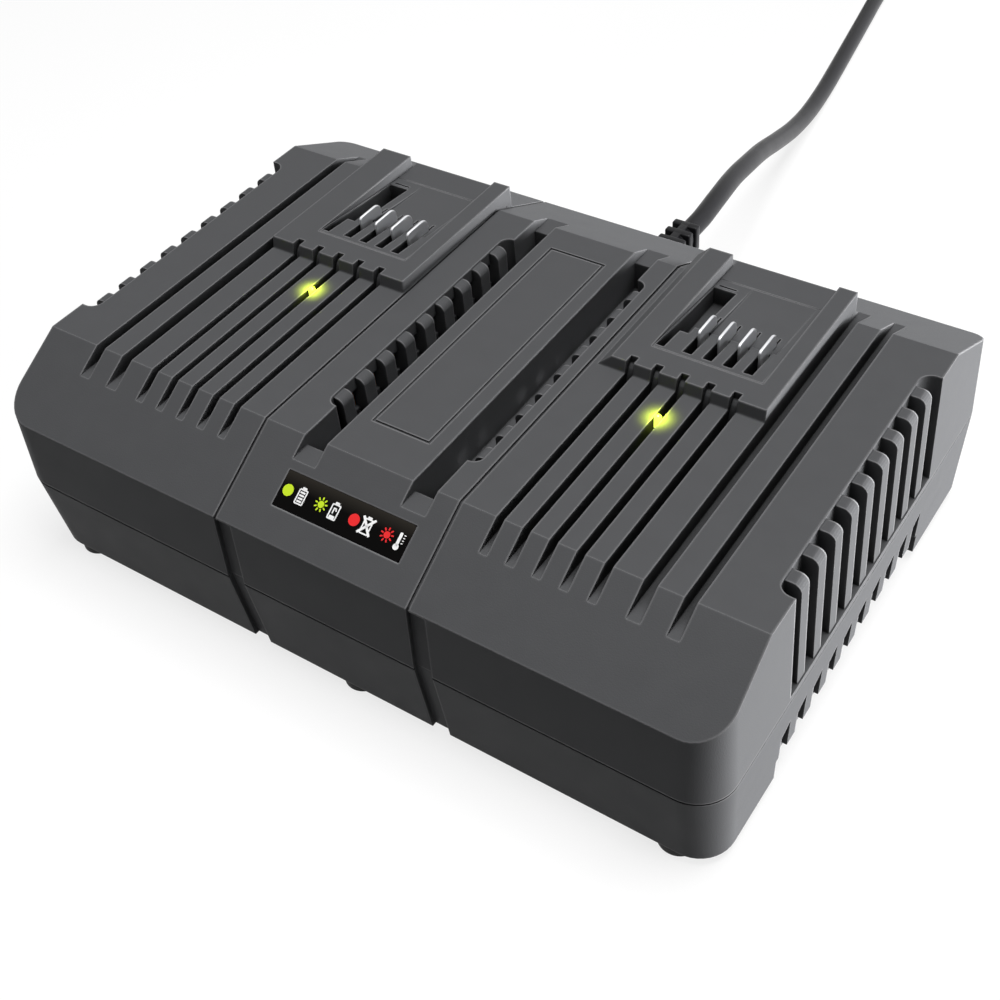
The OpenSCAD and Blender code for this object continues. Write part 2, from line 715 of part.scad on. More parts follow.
module lower_housing() color([0.30, 0.305, 0.31]) {
    difference() {
        union() {
            difference() {
                lower_outer();
                lower_inner();
            }
            intersection() {
                lower_outer();
                for (s = SIDES)
                    box([s > 0 ? low_wall_x - wall : -body_w / 2, low_edge_y0 - wall, base_z],
                        [s > 0 ? body_w / 2 : wall - low_wall_x, low_edge_y1 + wall, part_z]);
            }
            for (p = boss_pos)
                translate([p[0], p[1], base_z]) cylinder(d = boss_d, h = part_z - base_z);
            for (x = board_x, y = board_y)
                translate([x, y, floor_z - eps]) cylinder(d = board_boss_d, h = board_z - floor_z + eps);
            for (s = SIDES)
                translate([cord_x + s * clamp_off, clamp_y, floor_z - eps])
                    cylinder(d = 7, h = clamp_seat_z - floor_z + eps);
            // saddle under the cord, between the two clamp posts
            box([cord_x - clamp_off, clamp_y - 3, floor_z - eps],
                [cord_x + clamp_off, clamp_y + 3, clamp_seat_z]);
            // tongue that closes the notch below the strain relief
            box([cord_x - boot_w / 2, body_d / 2 - wall - 0.2, part_z - 6],
                [cord_x + boot_w / 2, body_d / 2 - 0.6, cord_z - boot_w / 2 - boot_gap]);
            fan_rails();
            locating_lip();
        }
        for (s = SIDES)
            low_side_cut(s);
        shadow_step();
        for (p = boss_pos) {
            translate([p[0], p[1], 0]) cylinder(d = screw_d + 2 * fit, h = cut);
            translate([p[0], p[1], 0]) cylinder(d = screw_head_d + 2 * fit, h = head_z + 3);
        }
        for (x = [-foot_x, mid_x, foot_x], s = SIDES)
            translate([x, s * foot_y, 0]) cylinder(d = foot_plug_d + 2 * fit, h = floor_z + 1);
        for (x = board_x, y = board_y)
            translate([x, y, base_z + 1]) cylinder(d = board_screw_d + 2 * fit, h = board_z);
        for (s = SIDES)
            translate([cord_x + s * clamp_off, clamp_y, clamp_seat_z - 12])
                cylinder(d = clamp_screw_d + 2 * fit, h = 20);
        for (s = SIDES)
            translate([-fan_x - 5, s * fan_hole, fan_z + fan_size / 2 - fan_hole]) rotate([0, 90, 0])
                cylinder(d = fan_screw_d + 2 * fit, h = fan_t + 10);
        seam_grooves();
    }
}

// Short lips that locate the upper shell on the lower one
module locating_lip() {
    l = 30;
    y = body_d / 2 - wall - 0.35;
    for (k = [-70, 50], s = SIDES)
        mirror([0, s < 0 ? 1 : 0, 0]) {
            translate([k, y - lip_t, part_z - 4]) cube([l, lip_t, 4 + lip_h]);
            translate([k, y - lip_t, part_z - 4]) cube([l, lip_t + 1, 3.8]);
        }
}

// ---- Terminal blocks and contact blades ----
deck_gap = 0.1;
slit_w = 0.5;           // fine slit behind each blade
slit_l = 3.5;
block_z0 = deck_z - deck_h;
channel_floor = deck_z - 8;
function blade_xs(x) = [for (k = [0:3]) x + blade_mid + (k - 1.5) * blade_pitch];
function deck_at(y) = deck_z - deck_drop * (y - deck_y0) / (deck_y1 - deck_y0);

module terminal_block(x) color([0.33, 0.335, 0.34]) {
    x0 = x + deck_x0 + deck_gap;
    x1 = x + deck_x1 - deck_gap;
    y0 = deck_y0 + deck_gap;
    y1 = deck_y1 - deck_gap;
    rib_x = blade_xs(x)[0] - channel_w / 2;
    difference() {
        union() {
            along_x([[y0, block_z0], [y0, deck_at(y0)], [y1, deck_at(y1)], [y1, block_z0]], x0, x1);
            // rim that bears on the inside of the case
            box([x0 - deck_rim, y0 - deck_rim, block_z0],
                [x1 + deck_rim, in_top_d / 2 - 0.3, roof_z - deck_seat]);
        }
        // lower plate behind the ribs
        along_x([[rib_y1, deck_at(rib_y1) - rib_step], [y1 + 1, deck_at(y1) - 0.1],
            [y1 + 1, cut], [rib_y1, cut]], rib_x + channel_w - 0.6, x1 - 3);
        for (bx = blade_xs(x)) {
            box([bx - channel_w / 2, channel_y0, channel_floor], [bx + channel_w / 2, rib_y1 + eps, cut]);
            box([bx - slit_w / 2, blade_y0 + blade_l, deck_at(blade_y0) - 5],
                [bx + slit_w / 2, blade_y0 + blade_l + slit_l, cut]);
            box([bx - blade_t / 2 - blade_gap, blade_y0 - blade_gap, 0],
                [bx + blade_t / 2 + blade_gap, blade_y0 + blade_l + blade_gap, cut]);
        }
        // trench beside the first rib, and the wide pit behind it
        box([x0 + 0.4, channel_y0 - 0.6, channel_floor], [x0 + 3, 33, cut]);
        box([x0 + 0.4, 29, channel_floor], [x0 + 6, 33, cut]);
        box([x0 + 0.4, 32.9, channel_floor - 2], [x0 + 8, 56, cut]);
        box([x0 + 1.4, 57.4, deck_at(58) - 0.8], [x0 + 7.4, 58, cut]);
    }
}
deck_seat = 0.05;

module blade(x, k) color([0.80, 0.81, 0.82]) {
    z1 = deck_z + blade_proud;
    r = 3;
    bx = blade_xs(x)[k];
    along_x(concat([[blade_y0, blade_foot_z], [blade_y0, z1 - 0.6], [blade_y0 + 0.6, z1]],
        [for (i = [0:5]) [blade_y0 + blade_l - r + r * sin(18 * i), z1 - r + r * cos(18 * i)]],
        [[blade_y0 + blade_l, blade_foot_z]]), bx - blade_t / 2, bx + blade_t / 2);
}
blade_foot_z = block_z0 - 4;

// ---- Light pipes and their boards ----
lamp_z = slot_z - channel_wall - 3;
lamp_peg_d = 2.2;

module light_pipe(x) color([0.75, 0.92, 0.20]) translate([x, lens_y, 0]) {
    translate([0, 0, lamp_z]) cylinder(d = lens_d, h = slot_z + 1 - lamp_z);
    translate([0, 0, lamp_z]) cylinder(d = 3.4, h = 1.5);
    translate([0, 0, slot_z + 1]) sphere(d = lens_d, $fn = 24);
}

module light_board(x) color([0.10, 0.35, 0.18]) {
    difference() {
        translate([x, lens_y, lamp_z - pcb_t / 2]) cube([lamp_board[0], lamp_board[1], pcb_t], center = true);
        for (s = SIDES)
            translate([x + s * slot_pitch, lens_y, 0]) cylinder(d = lamp_peg_d + 0.1, h = cut);
    }
    // screws that hold the board up against its two bosses
    for (s = SIDES)
        translate([x + s * slot_pitch, lens_y, lamp_z - pcb_t]) {
            cylinder(d = lamp_peg_d - 0.1, h = pcb_t + 2.5);
            translate([0, 0, -1.2]) cylinder(d = 3.8, h = 1.2);
        }
}

module status_label() color([0.07, 0.07, 0.08]) {
    on_label() translate([0, 0, -label_t / 2]) cube([label_w, label_h, label_t], center = true);
}

// ---- Feet and case screws ----
module foot(x, y) color([0.10, 0.10, 0.10]) translate([x, y, 0]) {
    cylinder(d1 = foot_d - 2, d2 = foot_d, h = 1);
    translate([0, 0, 1]) cylinder(d = foot_d, h = base_z - 1);
    translate([0, 0, base_z - eps]) cylinder(d = foot_plug_d, h = wall + 1);
    translate([0, 0, floor_z + fit]) cylinder(d1 = foot_plug_d + 1.2, d2 = foot_plug_d - 1, h = 1.6);
}

module housing_screws() color([0.75, 0.75, 0.77]) {
    for (p = boss_pos)
        translate([p[0], p[1], 0])
            difference() {
                union() {
                    translate([0, 0, head_z]) cylinder(d = screw_head_d, h = 3);
                    translate([0, 0, head_z]) cylinder(d = screw_d, h = screw_top - head_z);
                }
                for (a = [0, 90])
                    translate([0, 0, head_z]) rotate(a) cube([3.4, 0.8, 2], center = true);
            }
}

// ---- Electronics ----
module main_board() color([0.10, 0.35, 0.18]) {
    difference() {
        translate([0, 0, board_z + pcb_t / 2]) cube([pcb_size[0], pcb_size[1], pcb_t], center = true);
        for (x = board_x, y = board_y)
            translate([x, y, 0]) cylinder(d = board_screw_d + 2 * fit, h = cut);
    }
}

module board_screws() color([0.75, 0.75, 0.77]) {
    for (x = board_x, y = board_y)
        translate([x, y, base_z + 1.5]) {
            cylinder(d = board_screw_d, h = board_top - base_z - 1.5 + 1);
            translate([0, 0, board_top - base_z - 1.5]) cylinder(d = 4.6, h = 1.8);
        }
}

// A place on top of the board, as shares of its half width and half depth
function on_board(u, v) = [u * pcb_size[0] / 2, v * pcb_size[1] / 2, board_top];

core_size = [34, 20, 28];
core_at = on_board(0.07, 0.04);
core_leg = 6;
core_window = [core_size[0] / 2 - core_leg - core_leg / 4, core_size[2] - core_leg * 1.6];
module transformer_core() color([0.20, 0.20, 0.21]) translate(core_at) {
    difference() {
        translate([0, 0, core_size[2] / 2]) cube(core_size, center = true);
        for (s = SIDES)
            translate([s * (core_size[0] / 4 - core_leg / 8), 0, core_size[2] / 2])
                cube([core_window[0], core_size[1] + 1, core_window[1]], center = true);
    }
}

module transformer_winding() color([0.85, 0.62, 0.15]) translate(core_at) {
    g = 0.2;
    h = core_size[2] - core_leg * 1.6 - 2 * g;
    leg = core_leg;
    w = core_size[0] - 2 * core_leg - 2 * g;
    difference() {
        translate([0, 0, core_size[2] / 2]) cube([w, core_size[1] + 14, h], center = true);
        translate([0, 0, core_size[2] / 2]) cube([leg + 2 * g, core_size[1] + 2 * g, h + 1], center = true);
    }
}

module can(d, h) {
    cylinder(d = d, h = h - 0.6);
    translate([0, 0, h - 0.6]) cylinder(d1 = d, d2 = d - 1.2, h = 0.6);
}

module bulk_capacitors() color([0.12, 0.16, 0.30]) {
    d = 17;
    for (s = SIDES)
        translate(on_board(-0.41, 0.08) + [0, s * (d + 3) / 2, 0]) can(d, 30);
}

module output_capacitors() color([0.12, 0.16, 0.30]) {
    d = 10;
    for (i = [0:3])
        translate(on_board(0.48, 0.11) + [0, (i - 1.5) * (d + 3), 0]) can(d, 20);
}

// A plate with seven fins towards the front
sink_size = [0.277 * pcb_size[0], 4, 28];
sink_fin = [1.6, 9, sink_size[2]];
module heatsink(at) {
    translate(at - [sink_size[0] / 2, sink_size[1] / 2, 0]) cube(sink_size);
    for (i = [0:6])
        translate(at + [i * (sink_size[0] - sink_fin[0]) / 6 - sink_size[0] / 2, -sink_fin[1], 0])
            cube(sink_fin);
}
primary_at = on_board(-0.17, -0.62);
secondary_at = on_board(0.46, -0.69);

module primary_heatsink() color([0.72, 0.73, 0.75]) heatsink(primary_at);
module secondary_heatsink() color([0.72, 0.73, 0.75]) heatsink(secondary_at);

// A flat power device against the plain face of a heatsink, on three legs
module power_device(at) translate(at + [0, sink_size[1] / 2, 0]) {
    translate([-5, 0, 6]) cube([10, 4.4, 15]);
    for (i = [-1:1])
        translate([i * 2.54 - 0.4, 2, 0]) cube([0.8, 0.6, 6 + eps]);
}

module power_transistor() color([0.15, 0.15, 0.16]) power_device(primary_at);
module output_rectifier() color([0.15, 0.15, 0.16]) power_device(secondary_at);

choke_at = on_board(-0.72, 0.12);
choke_r = 11;
module choke() color([0.80, 0.45, 0.15]) translate(choke_at + [0, 0, choke_r])
    rotate([0, 90, 0]) rotate_extrude() translate([choke_r - 4, 0]) square([8, 9], center = true);

module filter_capacitor() color([0.85, 0.75, 0.20])
    translate(choke_at + [-6, choke_r + 1, 0]) cube([14, 9, 16]);

// The fuse lies just in front of where the left bay's leads reach the board
module fuse() color([0.86, 0.88, 0.90])
    translate([on_board(-0.77, 0)[0], leads_y - 5.5, board_top]) {
    l = 20;
    translate([0, 0, 4]) rotate([0, 90, 0]) cylinder(d = 5, h = l);
    for (x = [0, l - 4])
        translate([x, -2.6, 0]) cube([4, 5.2, 4]);
}

// ---- Inside end of the cord ----
module cord_clamp() color([0.15, 0.15, 0.16]) {
    z = cord_z + cord_d / 2;
    difference() {
        union() {
            box([cord_x - clamp_off - 3.5, clamp_y - 3, z + clamp_gap],
                [cord_x + clamp_off + 3.5, clamp_y + 3, z + clamp_gap + 3]);
            for (s = SIDES)
                translate([cord_x + s * clamp_off, clamp_y, clamp_seat_z])
                    cylinder(d = 6, h = cord_d + clamp_gap + eps);
        }
        for (s = SIDES)
            translate([cord_x + s * clamp_off, clamp_y, 0]) cylinder(d = clamp_screw_d + 2 * fit, h = cut);
    }
}
clamp_gap = 0.05;

module clamp_screws() color([0.75, 0.75, 0.77]) {
    z = cord_z + cord_d / 2 + clamp_gap + 3;
    for (s = SIDES)
        translate([cord_x + s * clamp_off, clamp_y, clamp_seat_z - 10]) {
            cylinder(d = clamp_screw_d, h = z - clamp_seat_z + 10 + 1);
            translate([0, 0, z - clamp_seat_z + 10]) cylinder(d = 4.6, h = 1.8);
        }
}

stub_y0 = clamp_y - 10;
module inner_cord() color([0.08, 0.08, 0.08]) {
    translate([cord_x, boot_in_y, cord_z]) rotate([90, 0, 0]) cylinder(d = cord_d, h = boot_in_y - stub_y0);
    // live and neutral leads down to the board
    for (x = [cord_x - 1.6, cord_x + 1.6])
        tube(smooth([[x, stub_y0, cord_z], [x, stub_y0 - 4, cord_z], [x, stub_y0 - 9, cord_z - 4],
            [x, stub_y0 - 12, cord_z - 14], [x, stub_y0 - 13, board_top + 6],
            [x, stub_y0 - 13, board_top]], 2), lead_d / 2, 6, [1, 0, 0]);
}

// Four leads from the blades of a bay to the board
lead_d = 1.6;
leads_back = 11;
leads_y = blade_y0 + blade_l / 2 + leads_back;
module output_leads(x) color([0.70, 0.10, 0.10]) {
    y = leads_y - leads_back;
    drop = blade_foot_z - board_top;
    for (bx = blade_xs(x))
        tube(smooth([[bx, y, blade_foot_z], [bx, y, blade_foot_z - 5], [bx, y + 3, board_top + 0.65 * drop],
            [bx, y + 8, board_top + 0.35 * drop], [bx, leads_y, board_top + 6], [bx, leads_y, board_top]], 2),
            lead_d / 2, 6, [1, 0, 0]);
}

// ---- Fan: its own middle at the origin, blowing along +Z ----
fan_hole = fan_size / 2 - 4;
fan_screw_d = 3;
bore_r = fan_size / 2 - 1.4;
hub_r = 8.4;

module fan_place() {
    translate([-fan_x, 0, fan_z + fan_size / 2]) rotate([0, 90, 0]) children();
}

module fan_frame() color([0.12, 0.12, 0.13]) fan_place() {
    difference() {
        translate([-fan_size / 2, -fan_size / 2, 0]) cube([fan_size, fan_size, fan_t]);
        translate([0, 0, -1]) cylinder(r = bore_r, h = fan_t + 2);
        for (x = SIDES, y = SIDES)
            translate([x * fan_hole, y * fan_hole, -1]) cylinder(d = fan_screw_d + 2 * fit, h = fan_t + 2);
    }
    difference() {
        union() {
            cylinder(r = hub_r, h = 2);
            cylinder(d = shaft_d + 4, h = fan_t * 0.65);
            for (a = [45:90:315])
                rotate(a) translate([0, -1.2, 0]) cube([bore_r + 0.6, 2.4, 2]);
        }
        translate([0, 0, -1]) cylinder(d = shaft_d + 2 * run_gap, h = fan_t);
    }
}

module fan_rotor() color([0.18, 0.18, 0.19]) fan_place() {
    r1 = bore_r - tip_gap;
    z0 = 2.6;
    h = fan_t - z0 - 0.5;
    difference() {
        union() {
            translate([0, 0, z0]) cylinder(r = hub_r, h = h);
            for (i = [0:fan_blades - 1])
                intersection() {
                    rotate(i * 360 / fan_blades) translate([hub_r - 1, 0, z0 + h / 2]) rotate([35, 0, 0])
                        translate([0, -6, -0.6]) cube([bore_r, 12, 1.2]);
                    translate([0, 0, z0 + 0.3]) cylinder(r = r1, h = h - 0.6);
                }
        }
        translate([0, 0, -1]) cylinder(r = hub_r - 1.2, h = fan_t - 1.2);
    }
    translate([0, 0, 0.6]) cylinder(d = shaft_d, h = fan_t - 1.4);
}

module fan_screws() color([0.75, 0.75, 0.77]) {
    for (s = SIDES)
        translate([-fan_x - 2, s * fan_hole, fan_z + fan_size / 2 - fan_hole]) rotate([0, 90, 0]) {
            cylinder(d = fan_screw_d, h = fan_t + 4);
            translate([0, 0, -1.8]) cylinder(d = 5.4, h = 1.8);
        }
}

module fan_lead() color([0.75, 0.15, 0.15]) {
    x = -fan_x + fan_t;
    x1 = -pcb_size[0] / 2 + 5;
    z = fan_z + fan_size - 3;
    for (y = [13, 15.4])
        tube(smooth([[x, y, z], [x + 3, y, z], [x + 7, y, z - 5], [(x + x1) / 2 + 2, y, (z + board_top) / 2],
            [x1, y, board_top + 6], [x1, y, board_top]], 2), 0.7, 6, [0, 1, 0]);
}

// ---- Strain relief, cord, coil, plug ----
flange_y = body_d / 2 - fold_taper / 2 - wall - 0.2;
boot_in_y = flange_y - 2;
boot_out_y = body_d / 2 + boot_l;
rib_pitch = (boot_l - 4) / boot_ribs;

module strain_relief() color([0.07, 0.07, 0.07]) {
    half = boot_w / 2;
    core = cord_d / 2 + 0.4;
    flange = half + 2;
    difference() {
        union() {
            // inner flange, neck through the wall, and the ribbed sleeve
            box([cord_x - flange, boot_in_y, cord_z - half],
                [cord_x + flange, flange_y, cord_z + half + 1.5]);
            box([cord_x - half, flange_y - eps, cord_z - half],
                [cord_x + half, body_d / 2 + 3, cord_z + half]);
            box([cord_x - core, body_d / 2, cord_z - core], [cord_x + core, boot_out_y, cord_z + core]);
            for (i = [1:boot_ribs])
                box([cord_x - half, body_d / 2 + i * rib_pitch, cord_z - half],
                    [cord_x + half, body_d / 2 + i * rib_pitch + rib_pitch / 2, cord_z + half]);
            box([cord_x - half, body_d / 2, cord_z - 1.5], [cord_x + half, boot_out_y - 3, cord_z + 1.5]);
            box([cord_x - 1.5, body_d / 2, cord_z - half], [cord_x + 1.5, boot_out_y - 3, cord_z + half]);
        }
        translate([cord_x, boot_in_y - 1, cord_z]) rotate([-90, 0, 0]) cylinder(d = cord_d - 1.5, h = 3);
    }
}

// Route of the cord behind the charger, to where its coil starts: each point's distance from the
// strain relief's end, sideways and backwards, and its height as a share of the cord exit's
tie_t = 0.7;
rest_z = cord_d / 2 + 0.25;
cord_lie = cord_d / 2 + tie_t + 0.15;
route_shape = [[0, 0, 1], [0, 10, 1], [-2, 28, 0.977], [-5, 46, 0.907], [-8, 65, 0.791], [-12, 86, 0.628],
    [-16, 110, 0.419], [-20, 135, 0.221], [-24, 160, 0.081], [-28, 185, 0.014], [-32, 210, 0],
    [-36, 235, 0], [-40, 260, 0], [-44, 285, 0], [-47, 310, 0.005], [-49, 330, 0.012]];
cord_route = concat([for (p = route_shape)
        [cord_x + p[0], boot_out_y + p[1], rest_z + p[2] * (cord_z - rest_z)]],
    [for (dy = [346, 356]) [cord_x - 50, boot_out_y + dy, cord_lie]]);
route_end = cord_route[len(cord_route) - 1];
coil_start = route_end + [0, 8, 0];
coil_mid = coil_start - [coil_r, 0, 0];

// The coil winds in on the lower layer, climbs half a turn, and winds out on the upper one
coil_steps = 24;
coil_total = 2 * coil_turns + 0.5;
coil_in_r = coil_r - coil_pitch * coil_turns;
coil_dip = 1.6;
function coil_radius(t) = t < coil_turns ? coil_r - coil_pitch * t
    : t > coil_turns + 0.5 ? coil_in_r + coil_pitch * (t - coil_turns - 0.5)
    : coil_in_r - coil_dip * sin(360 * (t - coil_turns));
function coil_climb(t) =
    let (f = max(0, min(1, (t - coil_turns) / 0.5))) coil_layer * f * f * (3 - 2 * f);
function coil_point(t) =
    coil_mid + [coil_radius(t) * cos(360 * t), coil_radius(t) * sin(360 * t), coil_climb(t)];
coil_n = ceil(coil_total * coil_steps);
coil_turn_pts = [for (i = [0:coil_n - 1]) coil_point(coil_total * i / coil_n)];
coil_end_r = coil_radius(coil_total);
coil_last = coil_mid + [0, coil_end_r, coil_layer];
plug_lead = 34;
coil_end = coil_last - [plug_lead, 0, 0];
coil_pts = concat([route_end, route_end + [0, 3, 0]], coil_turn_pts,
    [coil_last, coil_last - [plug_lead / 2, 0, 0], coil_last - [plug_lead - cord_d, 0, 0], coil_end]);

// Least distance between turns that lie more than half a turn apart
coil_gap = min([for (i = [0:3:len(coil_pts) - 1]) for (j = [i + 12:1:len(coil_pts) - 1])
    norm(coil_pts[i] - coil_pts[j])]) - cord_d;
echo(coil_gap = coil_gap, coil_length = path_length(coil_pts),
    route_length = path_length(smooth(cord_route, 2)));

module mains_cord() color([0.07, 0.07, 0.07]) tube(smooth(cord_route, 2), cord_d / 2, 10);
module cord_coil() color([0.07, 0.07, 0.07]) tube(coil_pts, cord_d / 2, 6);

// A strap round the coil's two layers of turns, at its near side
tie_w = 8;
module coil_tie() color([0.05, 0.05, 0.05]) {
    a = -90;
    r_out = coil_radius(coil_total - 0.5) + cord_d / 2 + 0.6;
    r_in = coil_in_r - coil_dip - cord_d / 2 - 0.6;
    z1 = cord_lie + coil_layer + cord_d / 2 + 0.5;
    translate([coil_mid[0], coil_mid[1], 0]) rotate(a)
        difference() {
            box([r_in - tie_t, -tie_w / 2, 0], [r_out + tie_t, tie_w / 2, z1 + tie_t]);
            box([r_in, -tie_w, tie_t], [r_out, tie_w, z1]);
        }
}

plug_t = 2 * (cord_lie + coil_layer) - 0.2;
plug_x = coil_end[0];
plug_neck = 14;
module plug_at() {
    translate([plug_x, coil_end[1], coil_end[2]]) children();
}

module mains_plug() color([0.07, 0.07, 0.07]) plug_at() {
    g = 1.5;
    // neck with grip ribs, then the body with its slanted shoulders
    rotate([0, -90, 0]) cylinder(d1 = cord_d + 1.5, d2 = cord_d + 5, h = plug_neck + 1);
    for (i = [0:2])
        translate([-2.5 - 4 * i, 0, 0]) rotate([0, -90, 0]) cylinder(d = cord_d + 4 + i, h = 2);
    plug_half = plug_w / 2;
    back = -plug_neck - plug_l;
    outline = [[-plug_neck, -plug_half + 6], [-plug_neck - 7, -plug_half], [back, -plug_half],
        [back, plug_half], [-plug_neck - 7, plug_half], [-plug_neck, plug_half - 6]];
    difference() {
        translate([0, 0, -plug_t / 2]) linear_extrude(plug_t) polygon(outline);
        for (s = SIDES, i = [0:3])
            translate([-plug_neck - 10 - 4 * i, s * plug_half, 0])
                cube([1.6, 2 * g, plug_t - 8], center = true);
    }
}

module plug_pins() color([0.83, 0.70, 0.35]) plug_at() {
    x = -plug_neck - plug_l;
    for (s = SIDES)
        translate([x - pin_l, s * pin_gap / 2 - 0.75, -1 - 6.35 / 2]) cube([pin_l, 1.5, 6.35]);
    translate([x, 0, 7]) rotate([0, -90, 0]) cylinder(d = 4.8, h = pin_l + 2.5);
}

upper_housing();
lower_housing();
terminal_block(-bay_x);  // left_terminal_block
terminal_block(bay_x);  // right_terminal_block
blade(-bay_x, 0);  // left_blade_1
blade(-bay_x, 1);  // left_blade_2
blade(-bay_x, 2);  // left_blade_3
blade(-bay_x, 3);  // left_blade_4
blade(bay_x, 0);  // right_blade_1
blade(bay_x, 1);  // right_blade_2
blade(bay_x, 2);  // right_blade_3
blade(bay_x, 3);  // right_blade_4
light_pipe(-bay_x);  // left_light_pipe
light_pipe(bay_x);  // right_light_pipe
light_board(-bay_x);  // left_light_board
light_board(bay_x);  // right_light_board
status_label();
foot(-foot_x, -foot_y);  // foot_front_left
foot(mid_x, -foot_y);  // foot_front_middle
foot(foot_x, -foot_y);  // foot_front_right
foot(-foot_x, foot_y);  // foot_rear_left
foot(mid_x, foot_y);  // foot_rear_middle
foot(foot_x, foot_y);  // foot_rear_right
housing_screws();
main_board();
board_screws();
transformer_core();
transformer_winding();
bulk_capacitors();
output_capacitors();
primary_heatsink();
secondary_heatsink();
power_transistor();
output_rectifier();
choke();
filter_capacitor();
fuse();
cord_clamp();
clamp_screws();
inner_cord();
output_leads(-bay_x);  // left_output_leads
output_leads(bay_x);  // right_output_leads
fan_frame();
fan_rotor();
fan_screws();
fan_lead();
strain_relief();
mains_cord();
cord_coil();
coil_tie();
mains_plug();
plug_pins();
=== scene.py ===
import math

import bmesh
import bpy
from mathutils import Matrix, Vector


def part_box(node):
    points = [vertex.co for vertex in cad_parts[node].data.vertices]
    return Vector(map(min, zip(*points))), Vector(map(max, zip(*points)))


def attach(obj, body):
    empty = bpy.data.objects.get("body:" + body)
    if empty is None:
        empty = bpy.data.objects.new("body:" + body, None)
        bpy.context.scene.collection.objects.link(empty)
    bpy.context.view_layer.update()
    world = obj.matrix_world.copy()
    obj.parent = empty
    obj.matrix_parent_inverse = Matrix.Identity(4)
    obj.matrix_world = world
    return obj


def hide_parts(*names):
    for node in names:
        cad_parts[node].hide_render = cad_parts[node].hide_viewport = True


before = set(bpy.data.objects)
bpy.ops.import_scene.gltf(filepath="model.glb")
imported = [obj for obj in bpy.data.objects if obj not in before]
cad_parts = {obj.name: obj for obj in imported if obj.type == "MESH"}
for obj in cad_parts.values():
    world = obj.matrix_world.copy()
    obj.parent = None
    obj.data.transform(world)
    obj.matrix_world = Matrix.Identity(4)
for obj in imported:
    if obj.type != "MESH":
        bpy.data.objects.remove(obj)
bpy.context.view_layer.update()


# ---- The photograph's framing, the floor and the studio light ----
# The camera looks from the front right, half from above, at a charger on a pale floor.
# A long strip light stands on the floor at the back right, out of the reflections, and a soft
# one hangs above.
camera_data = bpy.data.cameras.new("photo_camera")
camera_data.sensor_width = 36
camera_data.lens = 50.79
camera_data.shift_x = -0.0033
camera_data.shift_y = -0.0076
camera_data.clip_start = 0.01
camera_data.clip_end = 20
camera = bpy.data.objects.new("photo_camera", camera_data)
bpy.context.scene.collection.objects.link(camera)
camera_right = Vector((0.82976, 0.55356, -0.07117))
camera_up = Vector((-0.34756, 0.61229, 0.71015))
camera_back = Vector((0.43668, -0.56452, 0.70045))
camera_at = Vector((0.20907, -0.26829, 0.34397))
camera.matrix_world = Matrix((
    (camera_right.x, camera_up.x, camera_back.x, camera_at.x),
    (camera_right.y, camera_up.y, camera_back.y, camera_at.y),
    (camera_right.z, camera_up.z, camera_back.z, camera_at.z),
    (0, 0, 0, 1)))
bpy.context.scene.camera = camera
bpy.context.scene.view_settings.view_transform = "Standard"


def soft_box(name, place, aim, width, height, watts):
    """A rectangular lamp that faces its aim and isn't seen itself."""
    data = bpy.data.lights.new(name, "AREA")
    data.shape = "RECTANGLE"
    data.size = width
    data.size_y = height
    data.energy = watts
    lamp = bpy.data.objects.new(name, data)
    bpy.context.scene.collection.objects.link(lamp)
    lamp.visible_camera = False
    lamp.location = place
    lamp.rotation_mode = "QUATERNION"
    lamp.rotation_quaternion = (Vector(aim) - Vector(place)).to_track_quat("-Z", "Y")
    return lamp


strip_light = soft_box("strip_light", place=(1.0, 0.75, 0.045), aim=(0, 0.05, 0.045),
                       width=1.4, height=0.05, watts=78)
strip_light.visible_glossy = False
soft_box("overhead_light", place=(0.25, 0.05, 1.4), aim=(0, 0, 0), width=0.7, height=0.7, watts=26)


def backdrop_rays(tree):
    """A socket that is 1 for rays that show the backdrop, and 0 for its light on other things."""
    path = tree.nodes.new("ShaderNodeLightPath")
    seen = path.outputs["Is Camera Ray"]
    for kind in ("Is Glossy Ray", "Is Transmission Ray"):
        either = tree.nodes.new("ShaderNodeMath")
        either.operation = "MAXIMUM"
        tree.links.new(seen, either.inputs[0])
        tree.links.new(path.outputs[kind], either.inputs[1])
        seen = either.outputs[0]
    return seen


world = bpy.data.worlds.new("studio")
world.use_nodes = True
bpy.context.scene.world = world
tree = world.node_tree
tree.nodes.clear()
out = tree.nodes.new("ShaderNodeOutputWorld")
dim_room = tree.nodes.new("ShaderNodeBackground")
dim_room.inputs["Color"].default_value = (0.97, 0.98, 1, 1)
dim_room.inputs["Strength"].default_value = 0.05
white_room = tree.nodes.new("ShaderNodeBackground")
white_room.inputs["Strength"].default_value = 1
which = tree.nodes.new("ShaderNodeMixShader")
tree.links.new(backdrop_rays(tree), which.inputs["Fac"])
tree.links.new(dim_room.outputs[0], which.inputs[1])
tree.links.new(white_room.outputs[0], which.inputs[2])
tree.links.new(which.outputs[0], out.inputs["Surface"])

